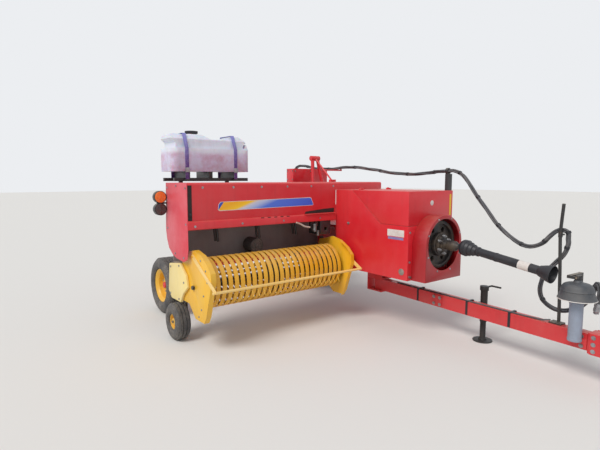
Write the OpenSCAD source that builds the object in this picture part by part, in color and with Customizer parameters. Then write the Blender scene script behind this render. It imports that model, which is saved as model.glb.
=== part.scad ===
// Small square baler with a side pickup, parked on its wheels and its jack.
// X points to the machine's left, Y to its rear and Z up, in millimetres.
// The modules work from the front face of the drive box, the middle of the bale case and the
// ground; place() then moves each of them so that the origin is under the middle of the machine.

/* [Bale case] */
// Inside width of the bale chamber
chamber_w = 457; // [430:1:480]
// Inside height of the bale chamber
chamber_h = 356; // [340:1:370]
// Height of the chamber floor above the ground
floor_z = 700; // [690:1:710]
// Thickness of the chamber walls
case_t = 8; // [6:1:10]
// Front end of the bale case behind the drive box face
case_y0 = 620; // [600:5:640]
// Rear end of the bale case behind the drive box face
case_y1 = 3550; // [3450:10:3650]
// Width and height of the four corner rails
rail_s = 42; // [36:1:48]
// Length of the feed opening in the right wall
feed_len = 410; // [380:5:430]
// Front edge of the feed opening behind the hood front
feed_back = 50; // [40:1:60]

/* [Main frame and axle] */
// Underside of the main frame
frame_z = 600; // [590:1:605]
// Width of a frame rail
frame_w = 46; // [40:1:52]
// Side of the square axle beam
axle_s = 100; // [90:1:110]
// Wheel axis behind the drive box face
axle_y = 2400; // [2360:5:2440]

/* [Drive box] */
// Half of the drive box width
box_half_w = 365; // [355:1:375]
// Length of the drive box
box_len = 1075; // [1060:1:1085]
// Top of the drive box
box_top_z = 1502; // [1490:1:1510]
// Height of the seam below the lid
lid_z = 1157; // [1140:1:1170]
// Length of the lid along the seam
lid_low_len = 367; // [350:1:380]
// Length of the lid along the top
lid_top_len = 803; // [780:1:820]
// Thickness of the sheet metal
sheet_t = 6; // [4:0.5:8]

/* [Flywheel and driveline] */
// Height of the flywheel axis
shaft_z = 960; // [950:1:970]
// Outer radius of the flywheel
flywheel_r = 245; // [235:1:252]
// Outer radius of the flywheel guard
guard_r = 300; // [290:1:305]
// Depth of the flywheel guard
guard_d = 170; // [165:1:180]
// Distance of the rear universal joint before the drive box
joint_y = 400; // [390:1:410]
// Length of the driveline from that joint to its front bell
driveline_len = 815; // [790:5:820]
// Radius of the driveline guard tube
driveline_r = 46; // [40:1:50]
// Radius of the ball in the rear universal joint
ball_r = 24; // [22:1:26]

/* [Hood and feeder] */
// Inner end of the hood to the left
hood_left = 410; // [395:5:420]
// Depth of the hood from front to rear
hood_d = 510; // [500:5:520]
// Top of the hood
hood_top_z = 1589; // [1575:1:1600]
// Lower edge of the hood front
hood_low_z = 1144; // [1135:1:1155]
// Height of the feed table
table_z = 776; // [768:1:780]

/* [Pickup] */
// Reel axis ahead of the hood front
reel_ahead = 15; // [5:1:25]
// Height of the reel axis
reel_z = 600; // [595:1:605]
// Radius to the tips of the tines
tine_r = 285; // [275:1:288]
// Outer radius of the stripper bands
band_r = 250; // [246:1:254]
// Width of one stripper band
band_w = 44; // [38:1:48]
// Number of stripper bands
band_n = 25; // [22:1:26]
// Number of tine bars on the reel
bar_n = 4; // [3:1:6]
// Outer sheet of the pickup, to the right
pickup_right = 2178; // [2170:1:2182]
// Inner sheet of the pickup, to the right
pickup_left = 430; // [424:1:440]
// Height of the pickup hinge
lift_z = 700; // [694:1:706]
// Pickup hinge behind the hood front
lift_back = 537; // [530:1:545]

/* [Wheels] */
// Radius of the right tyre
right_r = 339; // [330:1:345]
// Width of the right tyre
right_w = 240; // [225:1:250]
// Inner face of the right tyre, to the right
right_x = 1800; // [1790:5:1830]
// Radius of the left tyre
left_r = 393; // [385:1:400]
// Width of the left tyre
left_w = 340; // [320:1:350]
// Inner face of the left tyre, to the left
left_x = 345; // [340:1:360]
// Radius of the gauge tyre
gauge_r = 188; // [180:1:190]
// Width of the gauge tyre
gauge_w = 150; // [140:1:155]
// Gauge wheel axis behind the hood front
gauge_back = 351; // [345:1:361]

/* [Tongue and jack] */
// Angle of the tongue to the right
tongue_deg = 4; // [0:1:5]
// Tongue pin to the left of the middle
pivot_x = 197; // [190:1:200]
// Tongue pin behind the drive box face
pivot_y = 850; // [840:5:860]
// Underside of the tongue beam
tongue_z = 272; // [265:1:275]
// Height of the tongue beam
tongue_h = 136; // [130:1:140]
// Width of the tongue beam
tongue_w = 100; // [90:1:105]
// Length of the tongue from its pin to the hitch pin
tongue_len = 2620; // [2550:10:2660]
// Distance of the jack behind the hitch pin
jack_back = 1282; // [1260:1:1300]
// Outer radius of the jack tube
jack_r = 34; // [32:1:36]

/* [Knotter and tank] */
// Front of the knotter cover behind the hood
knotter_back = 425; // [415:5:445]
// Length of the knotter cover
knotter_len = 150; // [140:5:160]
// Half of the knotter cover width
knotter_half_w = 300; // [290:5:310]
// Top of the knotter cover
knotter_top_z = 1765; // [1750:5:1780]
// Length of the tank
tank_len = 1030; // [1000:5:1050]
// Depth of the tank from front to rear
tank_d = 440; // [420:5:450]
// Height of the tank without its cap
tank_h = 445; // [435:5:455]
// Left end of the tank, to the right
tank_x = 905; // [895:5:915]

/* [Hidden] */

$fn = 64;

// Paint and material colours
red = "#c02733";
faded_red = "#dd5560";
grey = "#8a8a86";
dark = "#2a2b2e";
yellow = "#d9b62e";
pale_yellow = "#d8cf8a";
steel = "#b9bcbf";
rubber = "#1c1c1d";

// Clearances: round fits, seats of sheet on frame, seams of lids and gaps at moving pieces
fit_gap = 0.3;
seam_gap = 3;
move_gap = 6;

// Bale case
case_half = chamber_w / 2 + case_t;
rail_out = case_half + rail_s - case_t;
case_low_z = floor_z - case_t;
case_top_z = floor_z + chamber_h + case_t;
slot_x = 115;
meter_slot = 45;
meter_y = 2930;
meter_z = 1150;
chute_pin = [case_y1 + 14, floor_z - 18];

// Pin and leaf of the hinge at the drive box lid, the same at the twine box
hinge_r = 5;
hinge_len = 66;
leaf_w = 22;
lid_pin = [lid_top_len + 2, box_top_z + 14];
lid_hinges = [-260, 200];

// Hood and feed table; the hood reaches past the pickup by the room for the drive shield
shield_room = 37;
hood_right = pickup_right + shield_room;
hood_y = box_len;
hood_rear_y = hood_y + hood_d;
table_y = hood_y + 285;
feed_y = hood_y + feed_back;
panel_t = 5;
panel_out = hood_right + panel_t;
table_back_y = hood_rear_y - 2 * sheet_t;

// Axle and wheels
axle_z = frame_z - axle_s / 2;
axle_right = right_x - 60;
drop_t = 30;
hub_r = 36;
gauge_x = pickup_right + 95 - gauge_w;

// Lamps
lamp_r = 62;
lamp_x = panel_out + lamp_r + 6;
lamp_y = hood_rear_y + 15;
lamp_zs = [1445, 1322];

// Extent of the whole machine, which sets where the origin lies
chute_len = 420;
hitch_ahead = 60;
hitch_half_w = 40;
x_low = -(lamp_x + lamp_r);
x_high = left_x + left_w;
y_low = pivot_y - (tongue_len + hitch_ahead) * cos(tongue_deg)
    - hitch_half_w * sin(tongue_deg);
y_high = case_y1 + chute_len;
mid_x = (x_low + x_high) / 2;
mid_y = (y_low + y_high) / 2;

// Turn of the seam of a leaning bar, in degrees
seam_turn = 90;

// Pickup, which follows the hood
reel_y = hood_y - reel_ahead;
lift_y = hood_y + lift_back;
gauge_y = hood_y + gauge_back;

// Knotters and the posts above the case, behind the hood
knotter_y = hood_rear_y + knotter_back;
tie_y = knotter_y + 70;
post_foot_y = hood_rear_y + 178;
post_top_y = hood_rear_y + 335;

// Tongue pieces, counted from its pin
jack_y = tongue_len - jack_back;
stand_y = tongue_len - 520;
front_y = tongue_len - 310;
hitch_y = pivot_y - tongue_len * cos(tongue_deg);

// Routes of the hose bundle, chosen by hand, before place() moves them; the bridge runs by
// shares of the way from the post to the stand, and the tongue's route goes by the hitch pin
hose_r = 22;
post_y = 95;
stand_end_y = hitch_y + 510;
held_route = [[420, 3010, 1520], [420, 3010, 1590], [420, 2990, 1690], [420, 2930, 1780],
    [420, 2820, 1830], [420, 2700, 1830], [420, 2500, 1800], [420, 2250, 1775],
    [420, 1980, 1775], [420, 1700, 1790], [420, 1450, 1775], [420, 1200, 1745],
    [420, 1000, 1715], [420, 780, 1690], [420, 550, 1685], [412, 340, 1695],
    [405, 220, 1712], [405, post_y, 1712]];
bridge_shares = [[405, 0, 1712], [405, 0.06, 1712], [395, 0.14, 1670], [350, 0.235, 1550],
    [310, 0.33, 1420], [275, 0.425, 1290], [240, 0.515, 1180], [215, 0.605, 1090],
    [195, 0.69, 1035], [185, 0.765, 1020], [180, 0.84, 1060], [178, 0.89, 1130],
    [178, 0.93, 1178], [178, 0.965, 1192], [178, 0.99, 1186], [178, 1, 1166],
    [178, 1, 1120 + fit_gap]];
bridge_route = [for (p = bridge_shares)
    [p[0], post_y - fit_gap + (stand_end_y - post_y + fit_gap) * p[1], p[2]]];
tongue_shape = [[178, 510, 1120], [178, 510, 1070], [178, 540, 985], [178, 610, 890],
    [180, 690, 780], [180, 720, 660], [180, 690, 560], [180, 600, 500], [180, 500, 500],
    [175, 390, 560], [170, 315, 660], [160, 270, 780], [150, 240, 720], [150, 250, 620]];
tongue_route = [for (p = tongue_shape) [p[0], hitch_y + p[1], p[2]]];

module place() {
    translate([-mid_x, -mid_y, 0]) children();
}

// A block between two corners
module block(x, y, z) {
    translate([x[0], y[0], z[0]]) cube([x[1] - x[0], y[1] - y[0], z[1] - z[0]]);
}

// Round bars along the three axes
module rod_x(x, y, z, r) {
    translate([x[0], y, z]) rotate([0, 90, 0]) cylinder(r = r, h = x[1] - x[0]);
}

module rod_y(y, x, z, r) {
    translate([x, y[1], z]) rotate([90, 0, 0]) cylinder(r = r, h = y[1] - y[0]);
}

module rod_z(z, x, y, r) {
    translate([x, y, z[0]]) cylinder(r = r, h = z[1] - z[0]);
}

// A round bar between two points, its seam turned to the side
module strut(a, b, r) {
    d = b - a;
    translate(a) rotate([0, acos(d[2] / norm(d)), atan2(d[1], d[0])]) rotate([0, 0, seam_turn])
        cylinder(r = r, h = norm(d));
}

// A plate with an outline in Y and Z, between two places on X
module side_plate(x) {
    translate([x[0], 0, 0]) rotate([90, 0, 90]) linear_extrude(x[1] - x[0]) children();
}

// A tube of eight sides swept along a route
module swept(route, r, sides = 8) {
    n = len(route);
    function heading(i) = let(a = route[max(i - 1, 0)], b = route[min(i + 1, n - 1)])
        (b - a) / norm(b - a);
    function across(t) = let(c = cross(t, [1, 0, 0])) c / norm(c);
    points = [for (i = [0:n - 1]) let(t = heading(i), u = across(t), v = cross(t, u))
        for (k = [0:sides - 1]) let(a = 360 * k / sides)
            route[i] + r * (cos(a) * u + sin(a) * v)];
    ends = [[for (k = [0:sides - 1]) k], [for (k = [sides - 1:-1:0]) (n - 1) * sides + k]];
    walls = [for (i = [0:n - 2]) for (k = [0:sides - 1]) let(j = (k + 1) % sides)
        [i * sides + k, (i + 1) * sides + k, (i + 1) * sides + j, i * sides + j]];
    polyhedron(points, concat(ends, walls));
}

// Chamber walls with the feed opening, slots for knots and needles, and the corner rails
module bale_case() {
    color(red) difference() {
        union() {
            block([-case_half, case_half], [case_y0, case_y1], [case_low_z, case_top_z]);
            for (s = [-1, 1]) {
                a = s > 0 ? case_half - case_t : -rail_out;
                b = s > 0 ? rail_out : -(case_half - case_t);
                block([a, b], [hood_rear_y + 60, case_y1], [case_low_z, case_low_z + rail_s]);
                block([a, b], [hood_rear_y + 60, case_y1], [case_top_z - rail_s, case_top_z]);
                for (y = [hood_rear_y + 165, 2640, 3200]) {
                    block([a, b], [y, y + rail_s], [case_low_z, case_top_z]);
                }
            }
        }
        block([-chamber_w / 2, chamber_w / 2], [case_y0 - 1, case_y1 + 1],
            [floor_z, floor_z + chamber_h]);
        block([-case_half - 1, -chamber_w / 2 + 1], [feed_y, feed_y + feed_len],
            [floor_z + 20, floor_z + chamber_h - 20]);
        for (s = [-1, 1]) {
            for (z = [floor_z + 70, floor_z + 160, floor_z + 250]) {
                block([s * case_half - case_t - 1, s * case_half + case_t + 1], [2000, 2600],
                    [z, z + 45]);
                block([s * case_half - case_t - 1, s * case_half + case_t + 1], [2720, 3160],
                    [z, z + 45]);
            }
            block([s * slot_x - 20, s * slot_x + 20], [tie_y - 160, tie_y + 160],
                [floor_z + chamber_h - 1, case_top_z + 1]);
            block([s * slot_x - 20, s * slot_x + 20], [tie_y - 160, tie_y + 160],
                [case_low_z - 1, floor_z + 1]);
        }
        block([-meter_slot, meter_slot], [meter_y - 185, meter_y + 185],
            [floor_z + chamber_h - 1, case_top_z + 1]);
    }
    color(red) for (s = [-1, 1]) {
        a = s > 0 ? case_half + 1.5 : -case_half - 12.5;
        difference() {
            block([a, a + 11], [case_y1 - 60, chute_pin[0] + 16],
                [chute_pin[1] - 16, case_low_z + 1]);
            rod_x([a - 1, a + 12], chute_pin[0], chute_pin[1], 10 + fit_gap);
        }
    }
}

// Two rails below the case, their cross members and the clevis of the tongue
module main_frame() {
    inner = case_half - frame_w;
    half = 90;
    plate_t = 16;
    front = pivot_y - 80;
    rear = pivot_y + 150;
    top = tongue_z + tongue_h;
    color(dark) {
        for (s = [-1, 1]) {
            block([s > 0 ? inner : -case_half, s > 0 ? case_half : -inner], [60, 2700],
                [frame_z, case_low_z]);
        }
        for (y = [60, 560, 980]) {
            block([-box_half_w + sheet_t + fit_gap, box_half_w - sheet_t - fit_gap],
                [y, y + 60], [frame_z, case_low_z - 1]);
        }
        block([pivot_x - half, pivot_x + half], [front, rear], [top + fit_gap, top + plate_t]);
        block([pivot_x - half, pivot_x + half], [front, rear],
            [tongue_z - plate_t, tongue_z - fit_gap]);
        block([pivot_x - half, pivot_x + half], [rear - plate_t, rear],
            [tongue_z - plate_t, frame_z + 1]);
        for (x = [pivot_x - half, pivot_x + half - 12]) {
            block([x, x + 12], [front, rear], [top + plate_t - 1, frame_z + 1]);
        }
        rod_z([tongue_z - 30, top + 30], pivot_x, pivot_y, 24);
    }
}

// Side outline of the drive box below and behind its lid
module box_outline() {
    polygon([[0, frame_z], [box_len, frame_z], [box_len, box_top_z],
        [lid_top_len + seam_gap, box_top_z], [lid_low_len + seam_gap, lid_z - seam_gap],
        [0, lid_z - seam_gap]]);
}

// Sheet metal drive box, open below, with the case through its rear wall
module front_box() {
    color(red) difference() {
        side_plate([-box_half_w, box_half_w]) box_outline();
        block([-box_half_w + sheet_t, box_half_w - sheet_t], [sheet_t, box_len - sheet_t],
            [frame_z - 1, box_top_z - sheet_t]);
        block([-case_half - fit_gap, case_half + fit_gap], [box_len - sheet_t - 1, box_len + 1],
            [frame_z - 1, case_top_z + fit_gap]);
        rod_y([-1, sheet_t + 1], 0, shaft_z, 60);
    }
    color(red) for (x = lid_hinges) {
        difference() {
            union() {
                rod_x([x + leaf_w + 3, x + hinge_len - leaf_w - 3], lid_pin[0], lid_pin[1], 11);
                block([x + leaf_w + 3, x + hinge_len - leaf_w - 3],
                    [lid_pin[0] + 2, lid_pin[0] + 11], [box_top_z - 1, lid_pin[1]]);
            }
            rod_x([x, x + hinge_len], lid_pin[0], lid_pin[1], hinge_r + fit_gap);
        }
    }
}

// Lid over the front of the drive box, hinged at its rear top edge
module front_lid() {
    color(red) difference() {
        side_plate([-box_half_w, box_half_w]) polygon([[0, lid_z], [lid_low_len, lid_z],
            [lid_top_len, box_top_z], [0, box_top_z]]);
        block([-box_half_w + sheet_t, box_half_w - sheet_t], [sheet_t, lid_top_len + 50],
            [lid_z - 1, box_top_z - sheet_t]);
    }
    color(red) for (x = lid_hinges) {
        rod_x([x, x + hinge_len], lid_pin[0], lid_pin[1], hinge_r);
        for (a = [x, x + hinge_len - leaf_w]) {
            block([a, a + leaf_w], [lid_pin[0] - 24, lid_pin[0] - 2],
                [box_top_z - 1, lid_pin[1] + 2]);
        }
    }
}

// Round guard standing before the drive box, with its skirt below
module flywheel_guard() {
    module outline(r) {
        circle(r = r, $fn = 96);
        translate([-r, frame_z - shaft_z]) square([2 * r, shaft_z - frame_z]);
    }
    color(red) translate([0, -fit_gap, shaft_z]) rotate([90, 0, 0]) difference() {
        linear_extrude(guard_d - fit_gap) outline(guard_r);
        translate([0, 0, -1]) linear_extrude(guard_d - 10) difference() {
            outline(guard_r - sheet_t);
            translate([-guard_r, frame_z - shaft_z - 1]) square([2 * guard_r, sheet_t + 1]);
        }
        cylinder(r = guard_r - 36, h = guard_d + 1, $fn = 96);
    }
}

// Flywheel with its slip clutch and the stub that carries the universal joint
module flywheel() {
    disc_y = 30;
    disc_t = 112;
    hub_y = disc_y + disc_t + 38;
    color(dark) difference() {
        translate([0, -disc_y, shaft_z]) rotate([90, 0, 0]) rotate_extrude($fn = 96)
            polygon([[0, 0], [flywheel_r, 0], [flywheel_r, 90], [flywheel_r - 35, 90],
                [flywheel_r - 35, 55], [120, 55], [120, disc_t - 12], [90, disc_t],
                [0, disc_t]]);
        rod_y([-135, 0], 0, shaft_z, 25 + fit_gap);
        for (a = [0:60:300]) {
            translate([0, 0, shaft_z]) rotate([0, a, 0]) rod_y([-90, 0], 165, 0, 26);
        }
    }
    color(dark) rod_y([-hub_y, -disc_y - disc_t - fit_gap], 0, shaft_z, 60);
    color(dark) rod_y([-joint_y + ball_r + fit_gap, -hub_y - fit_gap], 0, shaft_z, 18);
}

// Main gearbox and its input shaft
module gearbox() {
    color(grey) {
        block([-215, 215], [230, 540], [case_low_z + fit_gap, 1110]);
        rod_y([-134, 232], 0, shaft_z, 25);
        rod_y([180, 232], 0, shaft_z, 70);
    }
}

// Long hood over the feeder, open below
module hood() {
    lip = 34;
    color(red) difference() {
        side_plate([-hood_right, hood_left]) polygon([[hood_y, hood_low_z],
            [hood_y, hood_top_z - 14], [hood_y + 14, hood_top_z],
            [hood_rear_y - 14, hood_top_z], [hood_rear_y, hood_top_z - 14],
            [hood_rear_y, hood_low_z], [hood_rear_y - sheet_t, hood_low_z],
            [hood_rear_y - sheet_t, hood_top_z - sheet_t - 12],
            [hood_rear_y - sheet_t - 12, hood_top_z - sheet_t],
            [hood_y + sheet_t + 12, hood_top_z - sheet_t],
            [hood_y + sheet_t, hood_top_z - sheet_t - 12],
            [hood_y + sheet_t, hood_low_z + sheet_t], [hood_y + lip, hood_low_z + sheet_t],
            [hood_y + lip, hood_low_z]]);
        block([-box_half_w - 5, hood_left + 1], [hood_y - 1, hood_y + lip + 1],
            [hood_low_z - 1, box_top_z]);
        block([-case_half - move_gap, hood_left + 1], [hood_y + lip, hood_rear_y + 1],
            [hood_low_z - 1, box_top_z]);
    }
    color(red) block([hood_left - sheet_t, hood_left], [hood_y + 14, hood_rear_y - 14],
        [box_top_z, hood_top_z - sheet_t + 1]);
}

// Panel that closes the outer end of the hood
module hood_end_panel() {
    color(faded_red) translate([0, hood_y, 0]) side_plate([-panel_out, -hood_right])
        polygon([[0, hood_top_z], [hood_d + 10, hood_top_z], [hood_d + 40, 1110],
            [hood_d + 15, 1010], [478, 925], [385, 870], [291, 844], [111, 830], [25, 866],
            [0, 960]]);
}

// Right sides of the two brackets of the pickup hinge
lift_xs = [-pickup_right + 78, -600];

// Floor and back sheet behind the pickup
module feed_table() {
    end = -pickup_right + move_gap;
    color(grey) {
        difference() {
            union() {
                block([end, -case_half], [table_y, table_back_y], [table_z - sheet_t, table_z]);
                block([end, -case_half], [table_back_y - sheet_t, table_back_y],
                    [table_z - sheet_t, hood_low_z + 60]);
                block([end, -case_half - 40], [table_back_y - 1, hood_rear_y - sheet_t],
                    [hood_low_z + 40, hood_low_z + 60]);
                for (x = lift_xs) {
                    block([x, x + 20], [table_back_y - 1, lift_y + 30], [lift_z - 30, 900]);
                }
            }
            for (x = lift_xs) {
                rod_x([x - 1, x + 21], lift_y, lift_z, 15 + fit_gap);
            }
        }
    }
}

// Overhead feeder tube with its hanging forks
module feeder_forks() {
    y = hood_y + 325;
    z = hood_low_z + 186;
    color(dark) {
        rod_x([-hood_right, -box_half_w - 5], y, z, 30);
        for (i = [0:2]) {
            x = -hood_right + 435 + i * 510;
            block([x - 12, x + 12], [y - 40, y + 40], [z - 150, z + 15]);
            for (a = [y - 30, y + 30]) {
                strut([x, a, z - 130], [x, a - 40, z - 355], 13);
            }
            rod_x([x - 45, x + 45], y, z - 140, 46);
        }
    }
}

// Dark cover beside the feed opening, hanging from the lip of the hood
module feed_cover() {
    x = [-600, -pickup_left - 15];
    y = [hood_y + 5, hood_y + 215];
    low = hood_low_z - 159;
    color(dark) difference() {
        block(x, y, [low, hood_low_z - fit_gap]);
        block([x[0] + sheet_t, x[1] - sheet_t], [y[0] + sheet_t, y[1] + 1],
            [low - 1, hood_low_z - sheet_t]);
        rod_y([y[0] - 1, y[0] + sheet_t + 1], -520, low + 65, 22);
    }
}

// Plunger on the chamber floor, with its knife and rod
module plunger() {
    half = chamber_w / 2 - 4;
    y0 = box_len - 295;
    y1 = box_len + 25;
    color(grey) difference() {
        union() {
            block([-half, half], [y0, y1], [floor_z + fit_gap, floor_z + chamber_h - 4]);
            block([-40, 40], [541, y0 + 20], [floor_z + 110, floor_z + 190]);
        }
        block([-half + 30, half - 30], [y0 - 1, y1 - 40], [floor_z + 200, floor_z + chamber_h]);
    }
}

cover_low_z = 1470;
cover_pin = [knotter_y + knotter_len + 13, cover_low_z];
lug_x = knotter_half_w + 18;
beam_zs = [cover_low_z - 34, cover_low_z - 18];

// Side plates and cross bars that carry the knotters above the case
module knotter_frame() {
    color(red) {
        for (x = [-240, 225]) {
            difference() {
                side_plate([x, x + 15]) polygon([[tie_y - 130, case_top_z + fit_gap],
                    [tie_y + 330, case_top_z + fit_gap], [tie_y + 200, beam_zs[1]],
                    [tie_y - 60, beam_zs[1]]]);
                rod_x([x - 1, x + 16], tie_y + 60, 1300, 20 + fit_gap);
            }
        }
        block([-knotter_half_w + 10, knotter_half_w - 10], [knotter_y + 1, knotter_y + 31],
            [1400, cover_low_z - fit_gap]);
        block([-lug_x, lug_x], [cover_pin[0] - 15, cover_pin[0] + 15], beam_zs);
        for (x = [-lug_x, lug_x - 12]) {
            difference() {
                block([x, x + 12], [cover_pin[0] - 15, cover_pin[0] + 15],
                    [beam_zs[0], cover_pin[1] + 16]);
                rod_x([x - 1, x + 13], cover_pin[0], cover_pin[1], 8 + fit_gap);
            }
        }
    }
}

// Knotter shaft with two cam discs and the bill hooks below them
module knotters() {
    y = tie_y + 60;
    color(steel) {
        rod_x([-300, 252], y, 1300, 20);
        for (s = [-1, 1]) {
            rod_x([s * slot_x + 10, s * slot_x + 35], y, 1300, 128);
            rod_x([s * slot_x - 45, s * slot_x + 11], y, 1300, 60);
            block([s * slot_x - 40, s * slot_x - 5], [y - 120, y - 20], [1120, 1300]);
            rod_y([y - 160, y - 110], s * slot_x - 22, 1150, 16);
        }
        rod_x([243, 258], y, 1300, 120);
    }
}

// Box over the knotters, hinged at its rear lower edge
module knotter_cover() {
    color(red) {
        difference() {
            block([-knotter_half_w, knotter_half_w], [knotter_y, knotter_y + knotter_len],
                [cover_low_z, knotter_top_z]);
            block([-knotter_half_w + sheet_t, knotter_half_w - sheet_t],
                [knotter_y + sheet_t, knotter_y + knotter_len - sheet_t],
                [cover_low_z - 1, knotter_top_z - sheet_t]);
        }
        for (x = [-knotter_half_w, knotter_half_w - 60]) {
            rod_x([x, x + 60], cover_pin[0], cover_pin[1], 14);
        }
        rod_x([-lug_x, lug_x], cover_pin[0], cover_pin[1], 8);
    }
}

// Needle yoke below the case with two curved needles
module needles() {
    color(grey) {
        for (s = [-1, 1]) {
            side_plate([s * slot_x - 8, s * slot_x + 8]) intersection() {
                difference() {
                    translate([tie_y - 250, 640]) circle(r = 250, $fn = 96);
                    translate([tie_y - 250, 640]) circle(r = 215, $fn = 96);
                }
                translate([tie_y - 250, 385]) square([260, 260]);
            }
            a = s > 0 ? rail_out + fit_gap : -rail_out - fit_gap - 12;
            side_plate([a, a + 12]) polygon([[tie_y - 274, 386], [tie_y - 226, 386],
                [tie_y - 60, 690], [tie_y - 60, 730], [tie_y - 110, 730], [tie_y - 274, 430]]);
        }
        rod_x([-rail_out - 12, rail_out + 12], tie_y - 250, 408, 22);
    }
}

// Rear tension bars with their screws, springs and cranks
module density_frame() {
    color(dark) {
        for (z = [case_low_z - 60 - fit_gap, case_top_z + fit_gap]) {
            block([-rail_out - 80, rail_out + 80], [3300, 3360], [z, z + 60]);
        }
        for (s = [-1, 1]) {
            x = s * (rail_out + 50);
            rod_z([case_low_z - 59, 1420], x, 3330, 14);
            rod_z([case_top_z + 59, 1330], x, 3330, 32);
            rod_y([3230, 3344], x, 1406, 10);
        }
    }
}

// Star wheel that measures the bale, in the top of the case
module metering_wheel() {
    color(steel) difference() {
        union() {
            rod_x([-8, 8], meter_y, meter_z, 150);
            rod_x([-40, 40], meter_y, meter_z, 24);
            for (a = [0:30:330]) {
                translate([-8, meter_y, meter_z]) rotate([a, 0, 0]) translate([0, 130, -9])
                    cube([16, 45, 18]);
            }
        }
        rod_x([-41, 41], meter_y, meter_z, 12 + fit_gap);
    }
}

// Red posts above the case with the hook of the hoses, and the stands of the metering wheel
module a_frame() {
    color(red) {
        for (s = [-1, 1]) {
            strut([s * 147, post_foot_y, case_top_z + 10], [s * 40, post_top_y, 1911], 24);
            rod_z([case_top_z + fit_gap, case_top_z + 18], s * 148, post_foot_y - 1, 48);
            block([s * 56 - 6, s * 56 + 6], [meter_y - 40, meter_y + 40],
                [case_top_z + fit_gap, meter_z + 25]);
        }
        rod_x([-70, 70], post_top_y, 1905, 34);
        strut([0, post_top_y - 15, 1900], [0, hood_rear_y - 23, hood_top_z + 14], 11);
        block([-40, 40], [hood_rear_y - 55, hood_rear_y - 5],
            [hood_top_z + fit_gap, hood_top_z + 30]);
        rod_x([54, 466], post_top_y - 32, 1748, 9);
        rod_z([1738, 1800], 456, post_top_y - 32, 11);
        rod_x([-62, 62], meter_y, meter_z, 12);
    }
}

// Cross beam below the frame with a drop plate and stub at each end
module axle() {
    color(red) {
        block([-axle_right, left_x - 40], [axle_y - axle_s / 2, axle_y + axle_s / 2],
            [frame_z - axle_s, frame_z]);
        block([-axle_right - drop_t, -axle_right], [axle_y - 60, axle_y + 60],
            [right_r - 70, frame_z]);
        block([left_x - 41, left_x - 41 + drop_t], [axle_y - 60, axle_y + 60],
            [left_r - 70, frame_z]);
        rod_x([-right_x - right_w / 2 - 60, -axle_right], axle_y, right_r, hub_r);
        rod_x([left_x - 40, left_x + left_w / 2 + 60], axle_y, left_r, hub_r);
    }
}

// A tyre about the X axis: outer radius, width, rim radius and number of ribs
module tire(r, w, rim, ribs) {
    pitch = w * 0.72 / ribs;
    rotate([0, 90, 0]) rotate_extrude($fn = 96) difference() {
        union() {
            polygon([[rim, w * 0.13], [rim + 14, w * 0.06], [rim + (r - rim) * 0.45, 0],
                [r - 26, w * 0.06], [r, w * 0.14], [r, w * 0.86], [r - 26, w * 0.94],
                [rim + (r - rim) * 0.45, w], [rim + 14, w * 0.94], [rim, w * 0.87]]);
        }
        for (i = [1:ribs - 1]) {
            translate([r - 12, w * 0.14 + i * pitch - 5]) square([13, 10]);
        }
    }
}

// A rim about the X axis with its dish and a bore for the stub
module rim(r, w, dish, bore) {
    rotate([0, 90, 0]) rotate_extrude($fn = 96)
        polygon([[r, w * 0.12], [r + 12, w * 0.12], [r + 12, w * 0.15], [r, w * 0.18],
            [r - 25, w * 0.3], [r - 25, w * 0.7], [r, w * 0.82], [r + 12, w * 0.85],
            [r + 12, w * 0.88], [r, w * 0.88], [r - 32, w * 0.74], [r - 32, dish + 8],
            [bore + 60, dish + 24], [bore + 28, dish + 24], [bore + 28, dish + 60],
            [bore, dish + 60], [bore, dish - 40], [bore + 28, dish - 40], [bore + 28, dish],
            [r - 32, dish - 4], [r - 32, w * 0.26]]);
}

right_rim = 190;
left_rim = 192;
gauge_rim_r = 78;

module wheel_at(x, y, z) {
    translate([x, y, z]) children();
}

module rim_right() {
    color(pale_yellow) wheel_at(-right_x - right_w, axle_y, right_r)
        rim(right_rim, right_w, right_w / 2, hub_r + fit_gap);
}

module tire_right() {
    color(rubber) wheel_at(-right_x - right_w, axle_y, right_r)
        tire(right_r, right_w, right_rim + 12 + fit_gap, 5);
}

module rim_left() {
    color(pale_yellow) wheel_at(left_x, axle_y, left_r)
        rim(left_rim, left_w, left_w / 2, hub_r + fit_gap);
}

module tire_left() {
    color(rubber) wheel_at(left_x, axle_y, left_r)
        tire(left_r, left_w, left_rim + 12 + fit_gap, 5);
}

module gauge_rim() {
    color(pale_yellow) wheel_at(-gauge_x - gauge_w, gauge_y, gauge_r) rotate([0, 90, 0])
        rotate_extrude() polygon([[12 + fit_gap, 25], [34, 25], [34, 60], [gauge_rim_r - 10, 60],
            [gauge_rim_r - 10, 22], [gauge_rim_r, 22], [gauge_rim_r, gauge_w - 22],
            [gauge_rim_r - 10, gauge_w - 22], [gauge_rim_r - 10, 70], [34, 70],
            [34, gauge_w - 20], [12 + fit_gap, gauge_w - 20]]);
}

module gauge_tire() {
    color(rubber) wheel_at(-gauge_x - gauge_w, gauge_y, gauge_r)
        tire(gauge_r, gauge_w, gauge_rim_r + fit_gap, 3);
}

// Floor, ledge and top of the tank, its front and ends, and how far its upper part is set in
tank_z0 = 1715;
tank_ledge_z = tank_z0 + 270;
tank_z1 = tank_z0 + tank_h;
tank_y0 = axle_y - 290;
tank_y1 = tank_y0 + tank_d;
tank_x0 = -tank_x - tank_len;
tank_inset = 45;
strap_xs = [tank_x0 + 150, -tank_x - 240];
strap_w = 45;

// Cross section of the taut straps
module strap_line() {
    polygon([[tank_y0, tank_z0 - 1], [tank_y0, tank_ledge_z], [tank_y0 + 80, tank_z1],
        [tank_y1 - 80, tank_z1], [tank_y1, tank_ledge_z], [tank_y1, tank_z0 - 1]]);
}

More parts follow.
